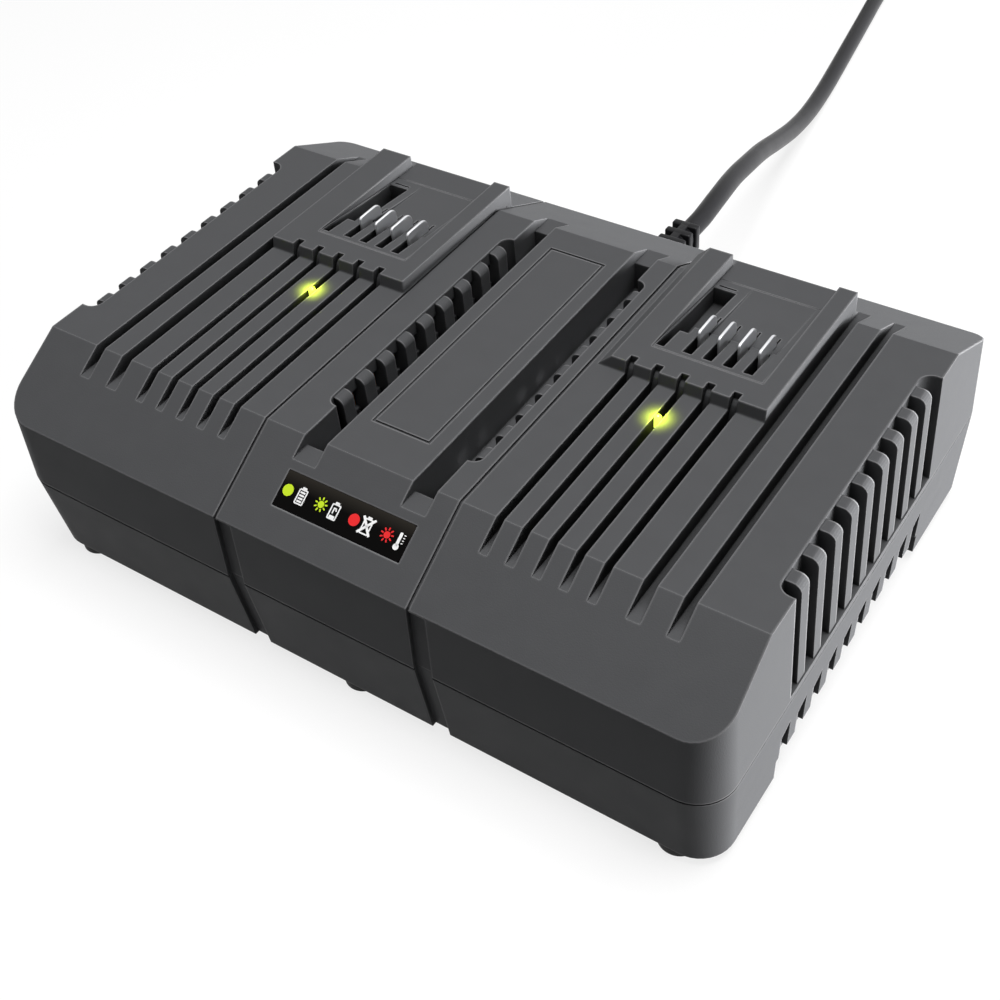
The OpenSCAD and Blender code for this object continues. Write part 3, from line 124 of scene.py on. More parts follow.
bpy.ops.object.select_all(action="DESELECT")
bpy.ops.mesh.primitive_plane_add(size=6, location=(0, 0.6, 0))
floor = bpy.context.object
floor.name = "studio_floor"
floor_paint = bpy.data.materials.new("pale_floor")
floor_paint.use_nodes = True
tree = floor_paint.node_tree
tree.nodes.clear()
out = tree.nodes.new("ShaderNodeOutputMaterial")
matte = tree.nodes.new("ShaderNodeBsdfDiffuse")
matte.inputs["Color"].default_value = (0.19, 0.19, 0.19, 1)
glow = tree.nodes.new("ShaderNodeEmission")
glow.inputs["Color"].default_value = (1, 1, 1, 1)
both = tree.nodes.new("ShaderNodeAddShader")
lift = tree.nodes.new("ShaderNodeMath")
lift.operation = "MULTIPLY"
lift.inputs[1].default_value = 0.79
tree.links.new(backdrop_rays(tree), lift.inputs[0])
tree.links.new(lift.outputs[0], glow.inputs["Strength"])
tree.links.new(matte.outputs[0], both.inputs[0])
tree.links.new(glow.outputs[0], both.inputs[1])
tree.links.new(both.outputs[0], out.inputs["Surface"])
floor.data.materials.append(floor_paint)


# ---- Lower housing ----
# The tray of the case, injection moulded in dark grey plastic with a spark-eroded texture.
# Its side walls have cooling slots, and six screws come up through its bosses into the lid.
mm = 0.001


def openness(tree, reach):
    """A socket that falls from 1 on open faces towards 0 in slots and corners; reach is in mm. It
    guides the painted shade in the depths and the painted highlight on open edges.
    """
    shade = tree.nodes.new("ShaderNodeAmbientOcclusion")
    shade.samples = 10
    shade.inputs["Distance"].default_value = reach * mm
    return shade.outputs["AO"]


def painted_depth_shade(tree, colour, open_air):
    """Painted shade: the colour, nearly black where little light gets in."""
    depth = tree.nodes.new("ShaderNodeMapRange")
    depth.inputs["From Min"].default_value = 0.20
    depth.inputs["From Max"].default_value = 0.62
    depth.inputs["To Min"].default_value = 0.06
    darken = tree.nodes.new("ShaderNodeMix")
    darken.data_type = "RGBA"
    darken.blend_type = "MULTIPLY"
    darken.inputs[0].default_value = 1
    tree.links.new(open_air, depth.inputs["Value"])
    tree.links.new(colour, darken.inputs[6])
    tree.links.new(depth.outputs["Result"], darken.inputs[7])
    return darken.outputs[2]


def painted_edge_highlight(tree, colour, open_air, soft_normal, highlight_tone):
    """Painted highlight: the colour, paler on open edges, where the softened normal turns away
    from the face's.
    """
    bare = tree.nodes.new("ShaderNodeNewGeometry")
    bend = tree.nodes.new("ShaderNodeVectorMath")
    bend.operation = "DOT_PRODUCT"
    edge_turn = tree.nodes.new("ShaderNodeMapRange")
    edge_turn.inputs["From Min"].default_value = 0.996
    edge_turn.inputs["From Max"].default_value = 0.95
    open_edge = tree.nodes.new("ShaderNodeMapRange")
    open_edge.inputs["From Min"].default_value = 0.74
    open_edge.inputs["From Max"].default_value = 0.94
    where = tree.nodes.new("ShaderNodeMath")
    where.operation = "MULTIPLY"
    pale = tree.nodes.new("ShaderNodeMix")
    pale.data_type = "RGBA"
    pale.inputs[7].default_value = (highlight_tone, highlight_tone, highlight_tone * 1.03, 1)
    tree.links.new(bare.outputs["Normal"], bend.inputs[0])
    tree.links.new(soft_normal, bend.inputs[1])
    tree.links.new(bend.outputs["Value"], edge_turn.inputs["Value"])
    tree.links.new(open_air, open_edge.inputs["Value"])
    tree.links.new(edge_turn.outputs["Result"], where.inputs[0])
    tree.links.new(open_edge.outputs["Result"], where.inputs[1])
    tree.links.new(where.outputs[0], pale.inputs["Factor"])
    tree.links.new(colour, pale.inputs[6])
    return pale.outputs[2]


def moulded(name, colour, rough=0.5, grain=0.35, specular=0.5, mottle=0.06, edge=0.45, coat=0,
            shade_reach=0, highlight_tone=0):
    """Moulded plastic or rubber: a fine eroded texture, a faint mottle, uneven gloss, soft edges.
    The depths can get painted shade out to a given reach from a corner, in mm, and the open
    edges a painted highlight of a given paleness."""
    material = bpy.data.materials.new(name)
    material.use_nodes = True
    tree = material.node_tree
    shader = tree.nodes["Principled BSDF"]
    shader.inputs["Specular IOR Level"].default_value = specular
    shader.inputs["Coat Weight"].default_value = coat
    shader.inputs["Coat Roughness"].default_value = 0.12
    place = tree.nodes.new("ShaderNodeTexCoord")
    cloud = tree.nodes.new("ShaderNodeTexNoise")
    cloud.inputs["Scale"].default_value = 130
    cloud.inputs["Detail"].default_value = 4
    tint = tree.nodes.new("ShaderNodeMix")
    tint.data_type = "RGBA"
    tint.inputs[6].default_value = tuple(c * (1 - mottle) for c in colour) + (1,)
    tint.inputs[7].default_value = tuple(c * (1 + mottle) for c in colour) + (1,)
    speck = tree.nodes.new("ShaderNodeTexNoise")
    speck.inputs["Scale"].default_value = 2300
    speck.inputs["Detail"].default_value = 2
    bump = tree.nodes.new("ShaderNodeBump")
    bump.inputs["Strength"].default_value = grain
    bump.inputs["Distance"].default_value = 0.00012
    gloss = tree.nodes.new("ShaderNodeMapRange")
    gloss.inputs["To Min"].default_value = rough - 0.07
    gloss.inputs["To Max"].default_value = rough + 0.07
    for texture in (cloud, speck):
        tree.links.new(place.outputs["Object"], texture.inputs["Vector"])
    tree.links.new(cloud.outputs["Fac"], tint.inputs["Factor"])
    colour_now = tint.outputs[2]
    tree.links.new(cloud.outputs["Fac"], gloss.inputs["Value"])
    tree.links.new(gloss.outputs["Result"], shader.inputs["Roughness"])
    tree.links.new(speck.outputs["Fac"], bump.inputs["Height"])
    if edge:
        soften = tree.nodes.new("ShaderNodeBevel")
        soften.samples = 8
        soften.inputs["Radius"].default_value = edge * mm
        tree.links.new(soften.outputs["Normal"], bump.inputs["Normal"])
    tree.links.new(bump.outputs["Normal"], shader.inputs["Normal"])
    # Painted shade in the depths, and a painted highlight on the open edges.
    if shade_reach:
        open_air = openness(tree, shade_reach)
        colour_now = painted_depth_shade(tree, colour_now, open_air)
        colour_now = painted_edge_highlight(tree, colour_now, open_air, soften.outputs["Normal"], highlight_tone)
    tree.links.new(colour_now, shader.inputs["Base Color"])
    return material


def place_piece(piece, slot, *stands_for):
    """Fixes a finished piece to the charger, in place of the CAD nodes that it stands for."""
    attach(piece, "base")
    if stands_for:
        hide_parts(*stands_for)
    return piece


def moulded_from(node, name, material, slot):
    """A copy of a CAD node as one closed skin, with its curved walls smooth."""
    bpy.ops.object.select_all(action="DESELECT")
    piece = bpy.data.objects.new(name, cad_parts[node].data.copy())
    bpy.context.scene.collection.objects.link(piece)
    bpy.context.view_layer.objects.active = piece
    piece.select_set(True)
    piece.data.materials.clear()
    piece.data.materials.append(material)
    bpy.ops.object.mode_set(mode="EDIT")
    bpy.ops.mesh.select_all(action="SELECT")
    bpy.ops.mesh.remove_doubles(threshold=2e-6)
    bpy.ops.mesh.customdata_custom_splitnormals_clear()
    bpy.ops.mesh.dissolve_limited(angle_limit=math.radians(0.3))
    bpy.ops.object.mode_set(mode="OBJECT")
    bpy.ops.object.shade_smooth_by_angle(angle=math.radians(16))
    evening = piece.modifiers.new("evening", "WEIGHTED_NORMAL")
    evening.weight = 100
    evening.keep_sharp = True
    bpy.ops.object.modifier_apply(modifier="evening")
    return place_piece(piece, slot, node)


# Its slots and corners get painted shade, and its open edges a painted highlight.
lower_grey = moulded("lower_grey", (0.064, 0.065, 0.068), rough=0.55, specular=0.07, edge=1.0,
                     shade_reach=7, highlight_tone=0.16)
moulded_from("lower_housing", "lower_case_moulding", lower_grey, "case_base")


# ---- Feet ----
# Six soft rubber feet, each with a button that is pulled through a hole in the base from below.
def rounded_from(node, name, width, material, slot):
    """A copy of a CAD node with all its corners really rounded off."""
    piece = moulded_from(node, name, material, slot)
    rounding = piece.modifiers.new("rounding", "BEVEL")
    rounding.width = width * mm
    rounding.segments = 3
    rounding.limit_method = "ANGLE"
    rounding.angle_limit = math.radians(28)
    rounding.use_clamp_overlap = True
    bpy.ops.object.modifier_apply(modifier="rounding")
    bpy.ops.object.shade_smooth_by_angle(angle=math.radians(30))
    return piece


foot_rubber = moulded("foot_rubber", (0.016, 0.016, 0.016), rough=0.72, grain=0.6, specular=0.3,
                      edge=0)
foot_edge = 0.4
for end in ("front", "rear"):
    for side in ("left", "middle", "right"):
        rounded_from(f"foot_{end}_{side}", f"rubber_foot_{end}_{side}", foot_edge, foot_rubber,
                     "foot_rubber")


# ---- Circuit board and its parts ----
# A glass-fibre board under green solder mask, with a ferrite transformer, capacitors, a choke,
# a fuse and two finned heat sinks. It is screwed to four bosses in the tray.
def finish_node(node, material):
    """Gives a CAD node that stays as it is its real finish."""
    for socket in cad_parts[node].material_slots:
        socket.material = material


def bare_metal(name, colour, rough, stretch=(1, 1, 1), edge=0.2):
    """Plated or drawn metal, with fine scratches that run along one way."""
    material = bpy.data.materials.new(name)
    material.use_nodes = True
    tree = material.node_tree
    shader = tree.nodes["Principled BSDF"]
    shader.inputs["Metallic"].default_value = 1
    shader.inputs["Base Color"].default_value = colour + (1,)
    place = tree.nodes.new("ShaderNodeTexCoord")
    along = tree.nodes.new("ShaderNodeMapping")
    along.inputs["Scale"].default_value = stretch
    scratch = tree.nodes.new("ShaderNodeTexNoise")
    scratch.inputs["Scale"].default_value = 1800
    scratch.inputs["Detail"].default_value = 3
    gloss = tree.nodes.new("ShaderNodeMapRange")
    gloss.inputs["To Min"].default_value = rough * 0.7
    gloss.inputs["To Max"].default_value = rough * 1.3
    bump = tree.nodes.new("ShaderNodeBump")
    bump.inputs["Strength"].default_value = 0.15
    bump.inputs["Distance"].default_value = 0.00004
    soften = tree.nodes.new("ShaderNodeBevel")
    soften.samples = 4
    soften.inputs["Radius"].default_value = edge * mm
    tree.links.new(place.outputs["Object"], along.inputs["Vector"])
    tree.links.new(along.outputs["Vector"], scratch.inputs["Vector"])
    tree.links.new(scratch.outputs["Fac"], gloss.inputs["Value"])
    tree.links.new(gloss.outputs["Result"], shader.inputs["Roughness"])
    tree.links.new(scratch.outputs["Fac"], bump.inputs["Height"])
    tree.links.new(soften.outputs["Normal"], bump.inputs["Normal"])
    tree.links.new(bump.outputs["Normal"], shader.inputs["Normal"])
    return material


board_green = bpy.data.materials.new("board_green")
board_green.use_nodes = True
tree = board_green.node_tree
shader = tree.nodes["Principled BSDF"]
shader.inputs["Roughness"].default_value = 0.32
place = tree.nodes.new("ShaderNodeTexCoord")
tracks = tree.nodes.new("ShaderNodeTexBrick")
tracks.inputs["Scale"].default_value = 160
tracks.inputs["Mortar Size"].default_value = 0.035
tracks.inputs["Color1"].default_value = (0.012, 0.085, 0.030, 1)
tracks.inputs["Color2"].default_value = (0.016, 0.110, 0.040, 1)
tracks.inputs["Mortar"].default_value = (0.050, 0.210, 0.070, 1)
weave = tree.nodes.new("ShaderNodeTexNoise")
weave.inputs["Scale"].default_value = 1500
bump = tree.nodes.new("ShaderNodeBump")
bump.inputs["Strength"].default_value = 0.2
bump.inputs["Distance"].default_value = 0.00005
tree.links.new(place.outputs["Object"], tracks.inputs["Vector"])
tree.links.new(place.outputs["Object"], weave.inputs["Vector"])
tree.links.new(tracks.outputs["Color"], shader.inputs["Base Color"])
tree.links.new(weave.outputs["Fac"], bump.inputs["Height"])
tree.links.new(bump.outputs["Normal"], shader.inputs["Normal"])
for node in ("main_board", "left_light_board", "right_light_board"):
    finish_node(node, board_green)

screw_steel = bare_metal("screw_steel", (0.62, 0.62, 0.64), 0.3)
for node in ("board_screws", "housing_screws", "clamp_screws", "fan_screws"):
    finish_node(node, screw_steel)
sink_metal = bare_metal("sink_metal", (0.70, 0.71, 0.73), 0.35, stretch=(0.1, 1, 1))
for node in ("primary_heatsink", "secondary_heatsink"):
    finish_node(node, sink_metal)
ferrite_grey = moulded("ferrite_grey", (0.030, 0.030, 0.032), rough=0.6, grain=0.8)
finish_node("transformer_core", ferrite_grey)
winding_tape = moulded("winding_tape", (0.62, 0.36, 0.05), rough=0.35, grain=0.1)
finish_node("transformer_winding", winding_tape)
can_sleeve = moulded("can_sleeve", (0.012, 0.018, 0.075), rough=0.25, grain=0.05, coat=0.4)
finish_node("bulk_capacitors", can_sleeve)
finish_node("output_capacitors", can_sleeve)
device_black = moulded("device_black", (0.014, 0.014, 0.015), rough=0.45, grain=0.4)
for node in ("power_transistor", "output_rectifier", "cord_clamp"):
    finish_node(node, device_black)
finish_node("choke", bare_metal("choke_copper", (0.78, 0.33, 0.12), 0.3, stretch=(1, 0.08, 0.08)))
finish_node("filter_capacitor", moulded("film_yellow", (0.65, 0.50, 0.05), rough=0.35, grain=0.1))
finish_node("fuse", moulded("fuse_glass", (0.70, 0.73, 0.75), rough=0.12, grain=0.05, coat=0.6))
lead_red = moulded("lead_red", (0.45, 0.012, 0.010), rough=0.35, grain=0.1)
for node in ("left_output_leads", "right_output_leads", "fan_lead"):
    finish_node(node, lead_red)


# ---- Fan ----
# A 40 mm axial fan of black plastic, held between two walls of the tray by two screws. It draws
# air in through the left side's slots.
fan_black = moulded("fan_black", (0.013, 0.013, 0.014), rough=0.4, grain=0.2)
finish_node("fan_frame", fan_black)
finish_node("fan_rotor", fan_black)


# ---- Upper housing ----
# The lid of the case, one grey moulding with both battery bays, the two cooling troughs with
# their fins, the side vents and the engraved centre plate, which is left blank.
# Its slots and corners get painted shade, and its open edges a painted highlight.
case_grey = moulded("case_grey", (0.068, 0.069, 0.072), rough=0.55, specular=0.07, edge=1.0,
                    shade_reach=9, highlight_tone=0.16)
moulded_from("upper_housing", "upper_case_moulding", case_grey, "case_top")


# ---- Terminal blocks ----
# A separate block in each bay, clipped up into the lid from below, with four channels for the
# battery's contacts. It is moulded in the same grey as the lid.
for side in ("left", "right"):
    moulded_from(f"{side}_terminal_block", f"{side}_terminal_moulding", case_grey, "case_top")


# ---- Contact blades ----
# Four stamped blades in each bay, brass with bright nickel plating. Their edges are coined
# round so that the battery slides on easily.
blade_nickel = bare_metal("blade_nickel", (0.78, 0.79, 0.81), 0.45, stretch=(1, 0.12, 1),
                          edge=0.15)
blade_edge = 0.28
for side in ("left", "right"):
    for number in (1, 2, 3, 4):
        rounded_from(f"{side}_blade_{number}", f"{side}_contact_{number}", blade_edge,
                     blade_nickel, "contact_metal")


# ---- Lights ----
# A clear acrylic light pipe in each bay, a stem with a rounded head, which a lamp on the small
# board below makes glow yellow-green. A small lamp over each gives its light on the ribs.
bay_x, pipe_y = 63.6, -5.5
pipe_r, pipe_neck_z, spill_z = 1.02, 72.4, 80.6

pipe_glow = bpy.data.materials.new("pipe_glow")
pipe_glow.use_nodes = True
tree = pipe_glow.node_tree
shader = tree.nodes["Principled BSDF"]
shader.inputs["Base Color"].default_value = (0.45, 0.62, 0.02, 1)
shader.inputs["Roughness"].default_value = 0.15
shader.inputs["Emission Strength"].default_value = 1.6
place = tree.nodes.new("ShaderNodeTexCoord")
swirl = tree.nodes.new("ShaderNodeTexNoise")
swirl.inputs["Scale"].default_value = 900
hot = tree.nodes.new("ShaderNodeMix")
hot.data_type = "RGBA"
hot.inputs[6].default_value = (0.62, 0.84, 0.03, 1)
hot.inputs[7].default_value = (0.85, 0.98, 0.18, 1)
tree.links.new(place.outputs["Object"], swirl.inputs["Vector"])
tree.links.new(swirl.outputs["Fac"], hot.inputs["Factor"])
tree.links.new(hot.outputs[2], shader.inputs["Emission Color"])


def light_pipe(name):
    """A round stem whose top is drawn out into a fuller, rounded head, by rises in mm and the
    share of its width that each ring keeps."""
    bpy.ops.object.select_all(action="DESELECT")
    foot_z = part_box("left_light_pipe")[0][2] / mm
    bpy.ops.mesh.primitive_circle_add(vertices=24, radius=pipe_r * mm, fill_type="NGON",
                                      location=(0, 0, foot_z * mm))
    piece = bpy.context.object
    piece.name = name
    bpy.ops.object.transform_apply()
    bpy.ops.object.mode_set(mode="EDIT")
    for rise, share in ((pipe_neck_z - foot_z, 1), (0.3, 1.22), (2.6, 1), (0.9, 0.93),
                        (0.55, 0.72), (0.25, 0.5)):
        bpy.ops.mesh.extrude_region_move(TRANSFORM_OT_translate={"value": (0, 0, rise * mm)})
        bpy.ops.transform.resize(value=(share, share, 1), center_override=(0, 0, 0))
    bpy.ops.mesh.select_all(action="SELECT")
    bpy.ops.mesh.normals_make_consistent(inside=False)
    bpy.ops.object.mode_set(mode="OBJECT")
    bpy.ops.object.shade_smooth_by_angle(angle=math.radians(50))
    piece.data.materials.append(pipe_glow)
    return piece


for side, pipe_x in (("left", -bay_x), ("right", bay_x)):
    pipe = light_pipe(f"{side}_glowing_pipe")
    pipe.location = (pipe_x * mm, pipe_y * mm, 0)
    bpy.ops.object.transform_apply()
    place_piece(pipe, "green_light", f"{side}_light_pipe")
    spill = bpy.data.lights.new(f"{side}_spill", "SPOT")
    spill.energy = 0.026
    spill.color = (0.8, 1, 0.05)
    spill.shadow_soft_size = 0.0012
    spill.spot_size = math.radians(118)
    spill.spot_blend = 1
    lamp = bpy.data.objects.new(f"{side}_spill", spill)
    bpy.context.scene.collection.objects.link(lamp)
    lamp.location = (pipe_x * mm, pipe_y * mm, spill_z * mm)


# ---- Status label ----
# A glossy black plastic label, glued into a shallow recess in the front slope. Its printed
# signs are green and red lights with the battery states that they stand for.
top_z, fold_z, fold_d, top_d = 76, 59.5, 178, 121.6
label_x, label_drop, label_w, label_h = 2.65, 16.6, 45.2, 11.2
slope_turn = math.atan((top_z - fold_z) / ((fold_d - top_d) / 2))
label_at = (Matrix.Translation((label_x * mm, -top_d / 2 * mm, top_z * mm))
            @ Matrix.Rotation(slope_turn, 4, "X")
            @ Matrix.Translation((0, -label_drop * mm, 0)))


def plate(width, height, corner, low, high, x=0, y=0, turn=0, hole=0, steps=4):
    """A flat plate with round corners, or a frame of the width that hole gives: a plane whose
    corners are bevelled and which is drawn up from low to high."""
    bpy.ops.object.select_all(action="DESELECT")
    bpy.ops.mesh.primitive_plane_add(size=1, location=(x * mm, y * mm, low * mm),
                                     rotation=(0, 0, math.radians(turn)))
    piece = bpy.context.object
    piece.scale = (width * mm, height * mm, 1)
    bpy.ops.object.transform_apply()
    bpy.ops.object.mode_set(mode="EDIT")
    if corner:
        bpy.ops.mesh.bevel(offset=corner * mm, segments=steps, affect="VERTICES")
    if hole:
        bpy.ops.mesh.inset(thickness=hole * mm)
        bpy.ops.mesh.delete(type="FACE")
        bpy.ops.mesh.select_all(action="SELECT")
    bpy.ops.mesh.extrude_region_move(TRANSFORM_OT_translate={"value": (0, 0, (high - low) * mm)})
    bpy.ops.mesh.select_all(action="SELECT")
    bpy.ops.mesh.normals_make_consistent(inside=False)
    bpy.ops.object.mode_set(mode="OBJECT")
    return piece


def disc(radius, low, high, x, y):
    """A flat disc, drawn up from a filled circle."""
    bpy.ops.object.select_all(action="DESELECT")
    bpy.ops.mesh.primitive_circle_add(vertices=28, radius=radius * mm, fill_type="NGON",
                                      location=(x * mm, y * mm, low * mm))
    piece = bpy.context.object
    bpy.ops.object.transform_apply()
    bpy.ops.object.mode_set(mode="EDIT")
    bpy.ops.mesh.extrude_region_move(TRANSFORM_OT_translate={"value": (0, 0, (high - low) * mm)})
    bpy.ops.mesh.select_all(action="SELECT")
    bpy.ops.mesh.normals_make_consistent(inside=False)
    bpy.ops.object.mode_set(mode="OBJECT")
    return piece


def as_one(pieces, name, material, slot, *stands_for, at=None, smooth=35):
    """Joins the parts of one piece, sets it where it belongs and fixes it to the charger."""
    bpy.ops.object.select_all(action="DESELECT")
    for piece in pieces:
        piece.select_set(True)
    bpy.context.view_layer.objects.active = pieces[0]
    bpy.ops.object.join()
    piece = bpy.context.object
    piece.name = name
    piece.data.name = name
    piece.data.materials.clear()
    piece.data.materials.append(material)
    if at:
        piece.matrix_world = at
        bpy.ops.object.transform_apply()
    bpy.ops.object.shade_smooth_by_angle(angle=math.radians(smooth))
    return place_piece(piece, slot, *stands_for)


label_black = bpy.data.materials.new("label_black")
label_black.use_nodes = True
tree = label_black.node_tree
shader = tree.nodes["Principled BSDF"]
shader.inputs["Specular IOR Level"].default_value = 0.03
shader.inputs["Roughness"].default_value = 0.3
place = tree.nodes.new("ShaderNodeTexCoord")
axes = tree.nodes.new("ShaderNodeSeparateXYZ")
# The backing is darker over its lower part and grows paler towards its upper edge.
fade = tree.nodes.new("ShaderNodeMapRange")
fade.inputs["From Min"].default_value = -0.0745
fade.inputs["From Max"].default_value = -0.0695
label_tone_up_slope = tree.nodes.new("ShaderNodeMix")
label_tone_up_slope.data_type = "RGBA"
label_tone_up_slope.inputs[6].default_value = (0.0022, 0.0020, 0.0020, 1)
label_tone_up_slope.inputs[7].default_value = (0.026, 0.023, 0.019, 1)
dust = tree.nodes.new("ShaderNodeTexNoise")
dust.inputs["Scale"].default_value = 2500
bump = tree.nodes.new("ShaderNodeBump")
bump.inputs["Strength"].default_value = 0.05
bump.inputs["Distance"].default_value = 0.00003
tree.links.new(place.outputs["Object"], axes.inputs["Vector"])
tree.links.new(axes.outputs["Y"], fade.inputs["Value"])
tree.links.new(fade.outputs["Result"], label_tone_up_slope.inputs["Factor"])
tree.links.new(label_tone_up_slope.outputs[2], shader.inputs["Base Color"])
tree.links.new(place.outputs["Object"], dust.inputs["Vector"])
tree.links.new(dust.outputs["Fac"], bump.inputs["Height"])
tree.links.new(bump.outputs["Normal"], shader.inputs["Normal"])
backing = plate(label_w, label_h, corner=0.9, low=-0.5, high=0.05)
bpy.ops.object.mode_set(mode="EDIT")
bpy.ops.mesh.select_all(action="DESELECT")
mesh = bmesh.from_edit_mesh(backing.data)
for face in mesh.faces:
    face.select = face.normal.z > 0.9
bmesh.update_edit_mesh(backing.data)
bpy.ops.mesh.inset(thickness=0.12 * mm)
bpy.ops.transform.translate(value=(0, 0, 0.04 * mm))
bpy.ops.object.mode_set(mode="OBJECT")
as_one([backing], "status_label_plate", label_black, "label_gloss", "status_label", at=label_at)


ink, over_ink = (0.08, 0.14), (0.09, 0.15)
green_dot_x, full_x, green_burst_x, filling_x = -19.85, -14.9, -7.85, -2.95
red_dot_x, faulty_x, red_burst_x, heat_x = 4.05, 8.55, 15.55, 19.6
dot_r, outline = 1.8, 0.42


def bar(width, height, corner, x, y, turn=0, layer=ink):
    """A printed bar of the label's signs."""
    return plate(width, height, corner, *layer, x, y, turn, steps=2)


def burst(x, y):
    """A blinking light's sign: a dot with nine short rays round it."""
    core_r, ray_r, rays, first_turn = 1.05, 1.75, 9, 10
    parts = [disc(core_r, *ink, x, y)]
    for ray in range(rays):
        turn = 360 / rays * ray + first_turn
        parts.append(bar(0.95, 0.46, 0.2, x + ray_r * math.cos(math.radians(turn)),
                         y + ray_r * math.sin(math.radians(turn)), turn))
    return parts


def cell(x):
    """A battery's sign: the outline of an upright body with its pole on top."""
    return [plate(3.1, 4.7, 0.45, *ink, x, -0.35, hole=outline), bar(1.5, 0.7, 0.2, x, 2.25)]


signs = cell(full_x) + cell(filling_x) + cell(faulty_x)
signs += [bar(1.7, 0.55, 0.1, full_x, -1.75 + 0.9 * level) for level in range(4)]
signs += [bar(1.8, 0.9, 0.1, filling_x, -1.9),
          bar(outline, 1.6, 0.1, filling_x - 0.35, -0.1),
          bar(1.1, outline, 0.1, filling_x, 0.7),
          bar(outline, 0.8, 0.1, filling_x + 0.45, 0.35, 28)]
signs += [bar(0.75, 6.6, 0.15, faulty_x, -0.2, turn, over_ink) for turn in (40, -40)]
signs += [disc(0.95, *ink, heat_x, -2.0), plate(0.95, 4.2, 0.45, *ink, heat_x, 0.2)]
signs += [bar(0.6, 0.28, 0.08, heat_x + 1.3, -0.6 + 0.8 * mark) for mark in range(4)]
print_white = moulded("print_white", (0.82, 0.82, 0.82), rough=0.3, grain=0.05, mottle=0.02,
                      edge=0)
print_green = moulded("print_green", (0.50, 0.68, 0.010), rough=0.3, grain=0.05, mottle=0.03,
                      edge=0)
print_red = moulded("print_red", (0.72, 0.010, 0.012), rough=0.3, grain=0.05, mottle=0.03, edge=0)
as_one(signs, "label_white_signs", print_white, "label_gloss", at=label_at)
as_one([disc(dot_r, *ink, green_dot_x, 0)] + burst(green_burst_x, 0.1), "label_green_signs",
       print_green, "label_gloss", at=label_at)
as_one([disc(dot_r, *ink, red_dot_x, 0)] + burst(red_burst_x, 0), "label_red_signs",
       print_red, "label_gloss", at=label_at)


# ---- Strain relief ----
# A tapered sleeve of black PVC, moulded onto the cord. Open slits between its ribs let it bend,
# and its flange sits behind the slot in the back wall.
cord_black = moulded("cord_black", (0.010, 0.010, 0.011), rough=0.35, grain=0.12,
                     specular=0.16, edge=0)
relief_black = moulded("relief_black", (0.008, 0.008, 0.009), rough=0.30, grain=0.10,
                       specular=0.18, edge=0.2)
finish_node("inner_cord", cord_black)


def lump(low, high, corner):
    """A block with round edges, or with sharp ones where corner is 0."""
    bpy.ops.object.select_all(action="DESELECT")
    middle = [(a + b) / 2 * mm for a, b in zip(low, high)]
    bpy.ops.mesh.primitive_cube_add(size=1, location=middle,
                                    scale=[(b - a) * mm for a, b in zip(low, high)])
    piece = bpy.context.object
    bpy.ops.object.transform_apply()
    if corner:
        bpy.ops.object.mode_set(mode="EDIT")
        bpy.ops.mesh.select_all(action="SELECT")
        bpy.ops.mesh.bevel(offset=corner * mm, segments=3, affect="EDGES")
        bpy.ops.object.mode_set(mode="OBJECT")
    return piece


cord_x, cord_z = 8, 47
wall_y, relief_end, relief_w, relief_flare = 90, 116, 10, 0.35
flange_w, flange_drop, flange_rise, flange_y0, flange_y1 = 14, 5, 6.5, 84.3, 86.2
root_w, root_y0, root_y1 = 10, 85.5, 92.5
sleeve_r, sleeve_tip_r, sleeve_l, sleeve_in = 4.5, 4.05, 25, 0.3
rib_count, rib_step, rib_thick = 5, 5.35, 2.9
web_w, web_in, web_drop = 3, 1, 0.25


def relief_half(y):
    """Half the width of the ribs at y, which grows a little towards the wall."""
    return relief_w / 2 + relief_flare * (relief_end - y) / (relief_end - wall_y)


parts = [lump((cord_x - flange_w / 2, flange_y0, cord_z - flange_drop),
              (cord_x + flange_w / 2, flange_y1, cord_z + flange_rise), corner=0.4),
         lump((cord_x - root_w / 2, root_y0, cord_z - root_w / 2),
              (cord_x + root_w / 2, root_y1, cord_z + root_w / 2), corner=0.5)]
bpy.ops.object.select_all(action="DESELECT")
sleeve_y = relief_end - sleeve_in - sleeve_l / 2
bpy.ops.mesh.primitive_cone_add(vertices=40, radius1=sleeve_r * mm, radius2=sleeve_tip_r * mm,
                                depth=sleeve_l * mm, rotation=(-math.pi / 2, 0, 0),
                                location=(cord_x * mm, sleeve_y * mm, cord_z * mm))
sleeve = bpy.context.object
bpy.ops.object.transform_apply()
bpy.ops.object.mode_set(mode="EDIT")
bpy.ops.mesh.select_all(action="DESELECT")
mesh = bmesh.from_edit_mesh(sleeve.data)
for face in mesh.faces:
    face.select = abs(face.normal.y) > 0.9
bmesh.update_edit_mesh(sleeve.data)
bpy.ops.mesh.inset(thickness=0.3 * mm)
bpy.ops.object.mode_set(mode="OBJECT")
parts.append(sleeve)
for rib in range(rib_count):
    rib_y = relief_end - rib_thick - rib_step * rib
    half = relief_half(rib_y)
    parts.append(lump((cord_x - half, rib_y, cord_z - half),
                      (cord_x + half, rib_y + rib_thick, cord_z + half), corner=0.65))
half = relief_half(wall_y)
parts.append(lump((cord_x - web_w / 2, wall_y + web_in, cord_z - half + web_drop),
                  (cord_x + web_w / 2, relief_end - web_in, cord_z + half - web_drop),
                  corner=0.3))
as_one(parts, "cord_strain_relief", relief_black, "cord_black", "strain_relief", smooth=38)


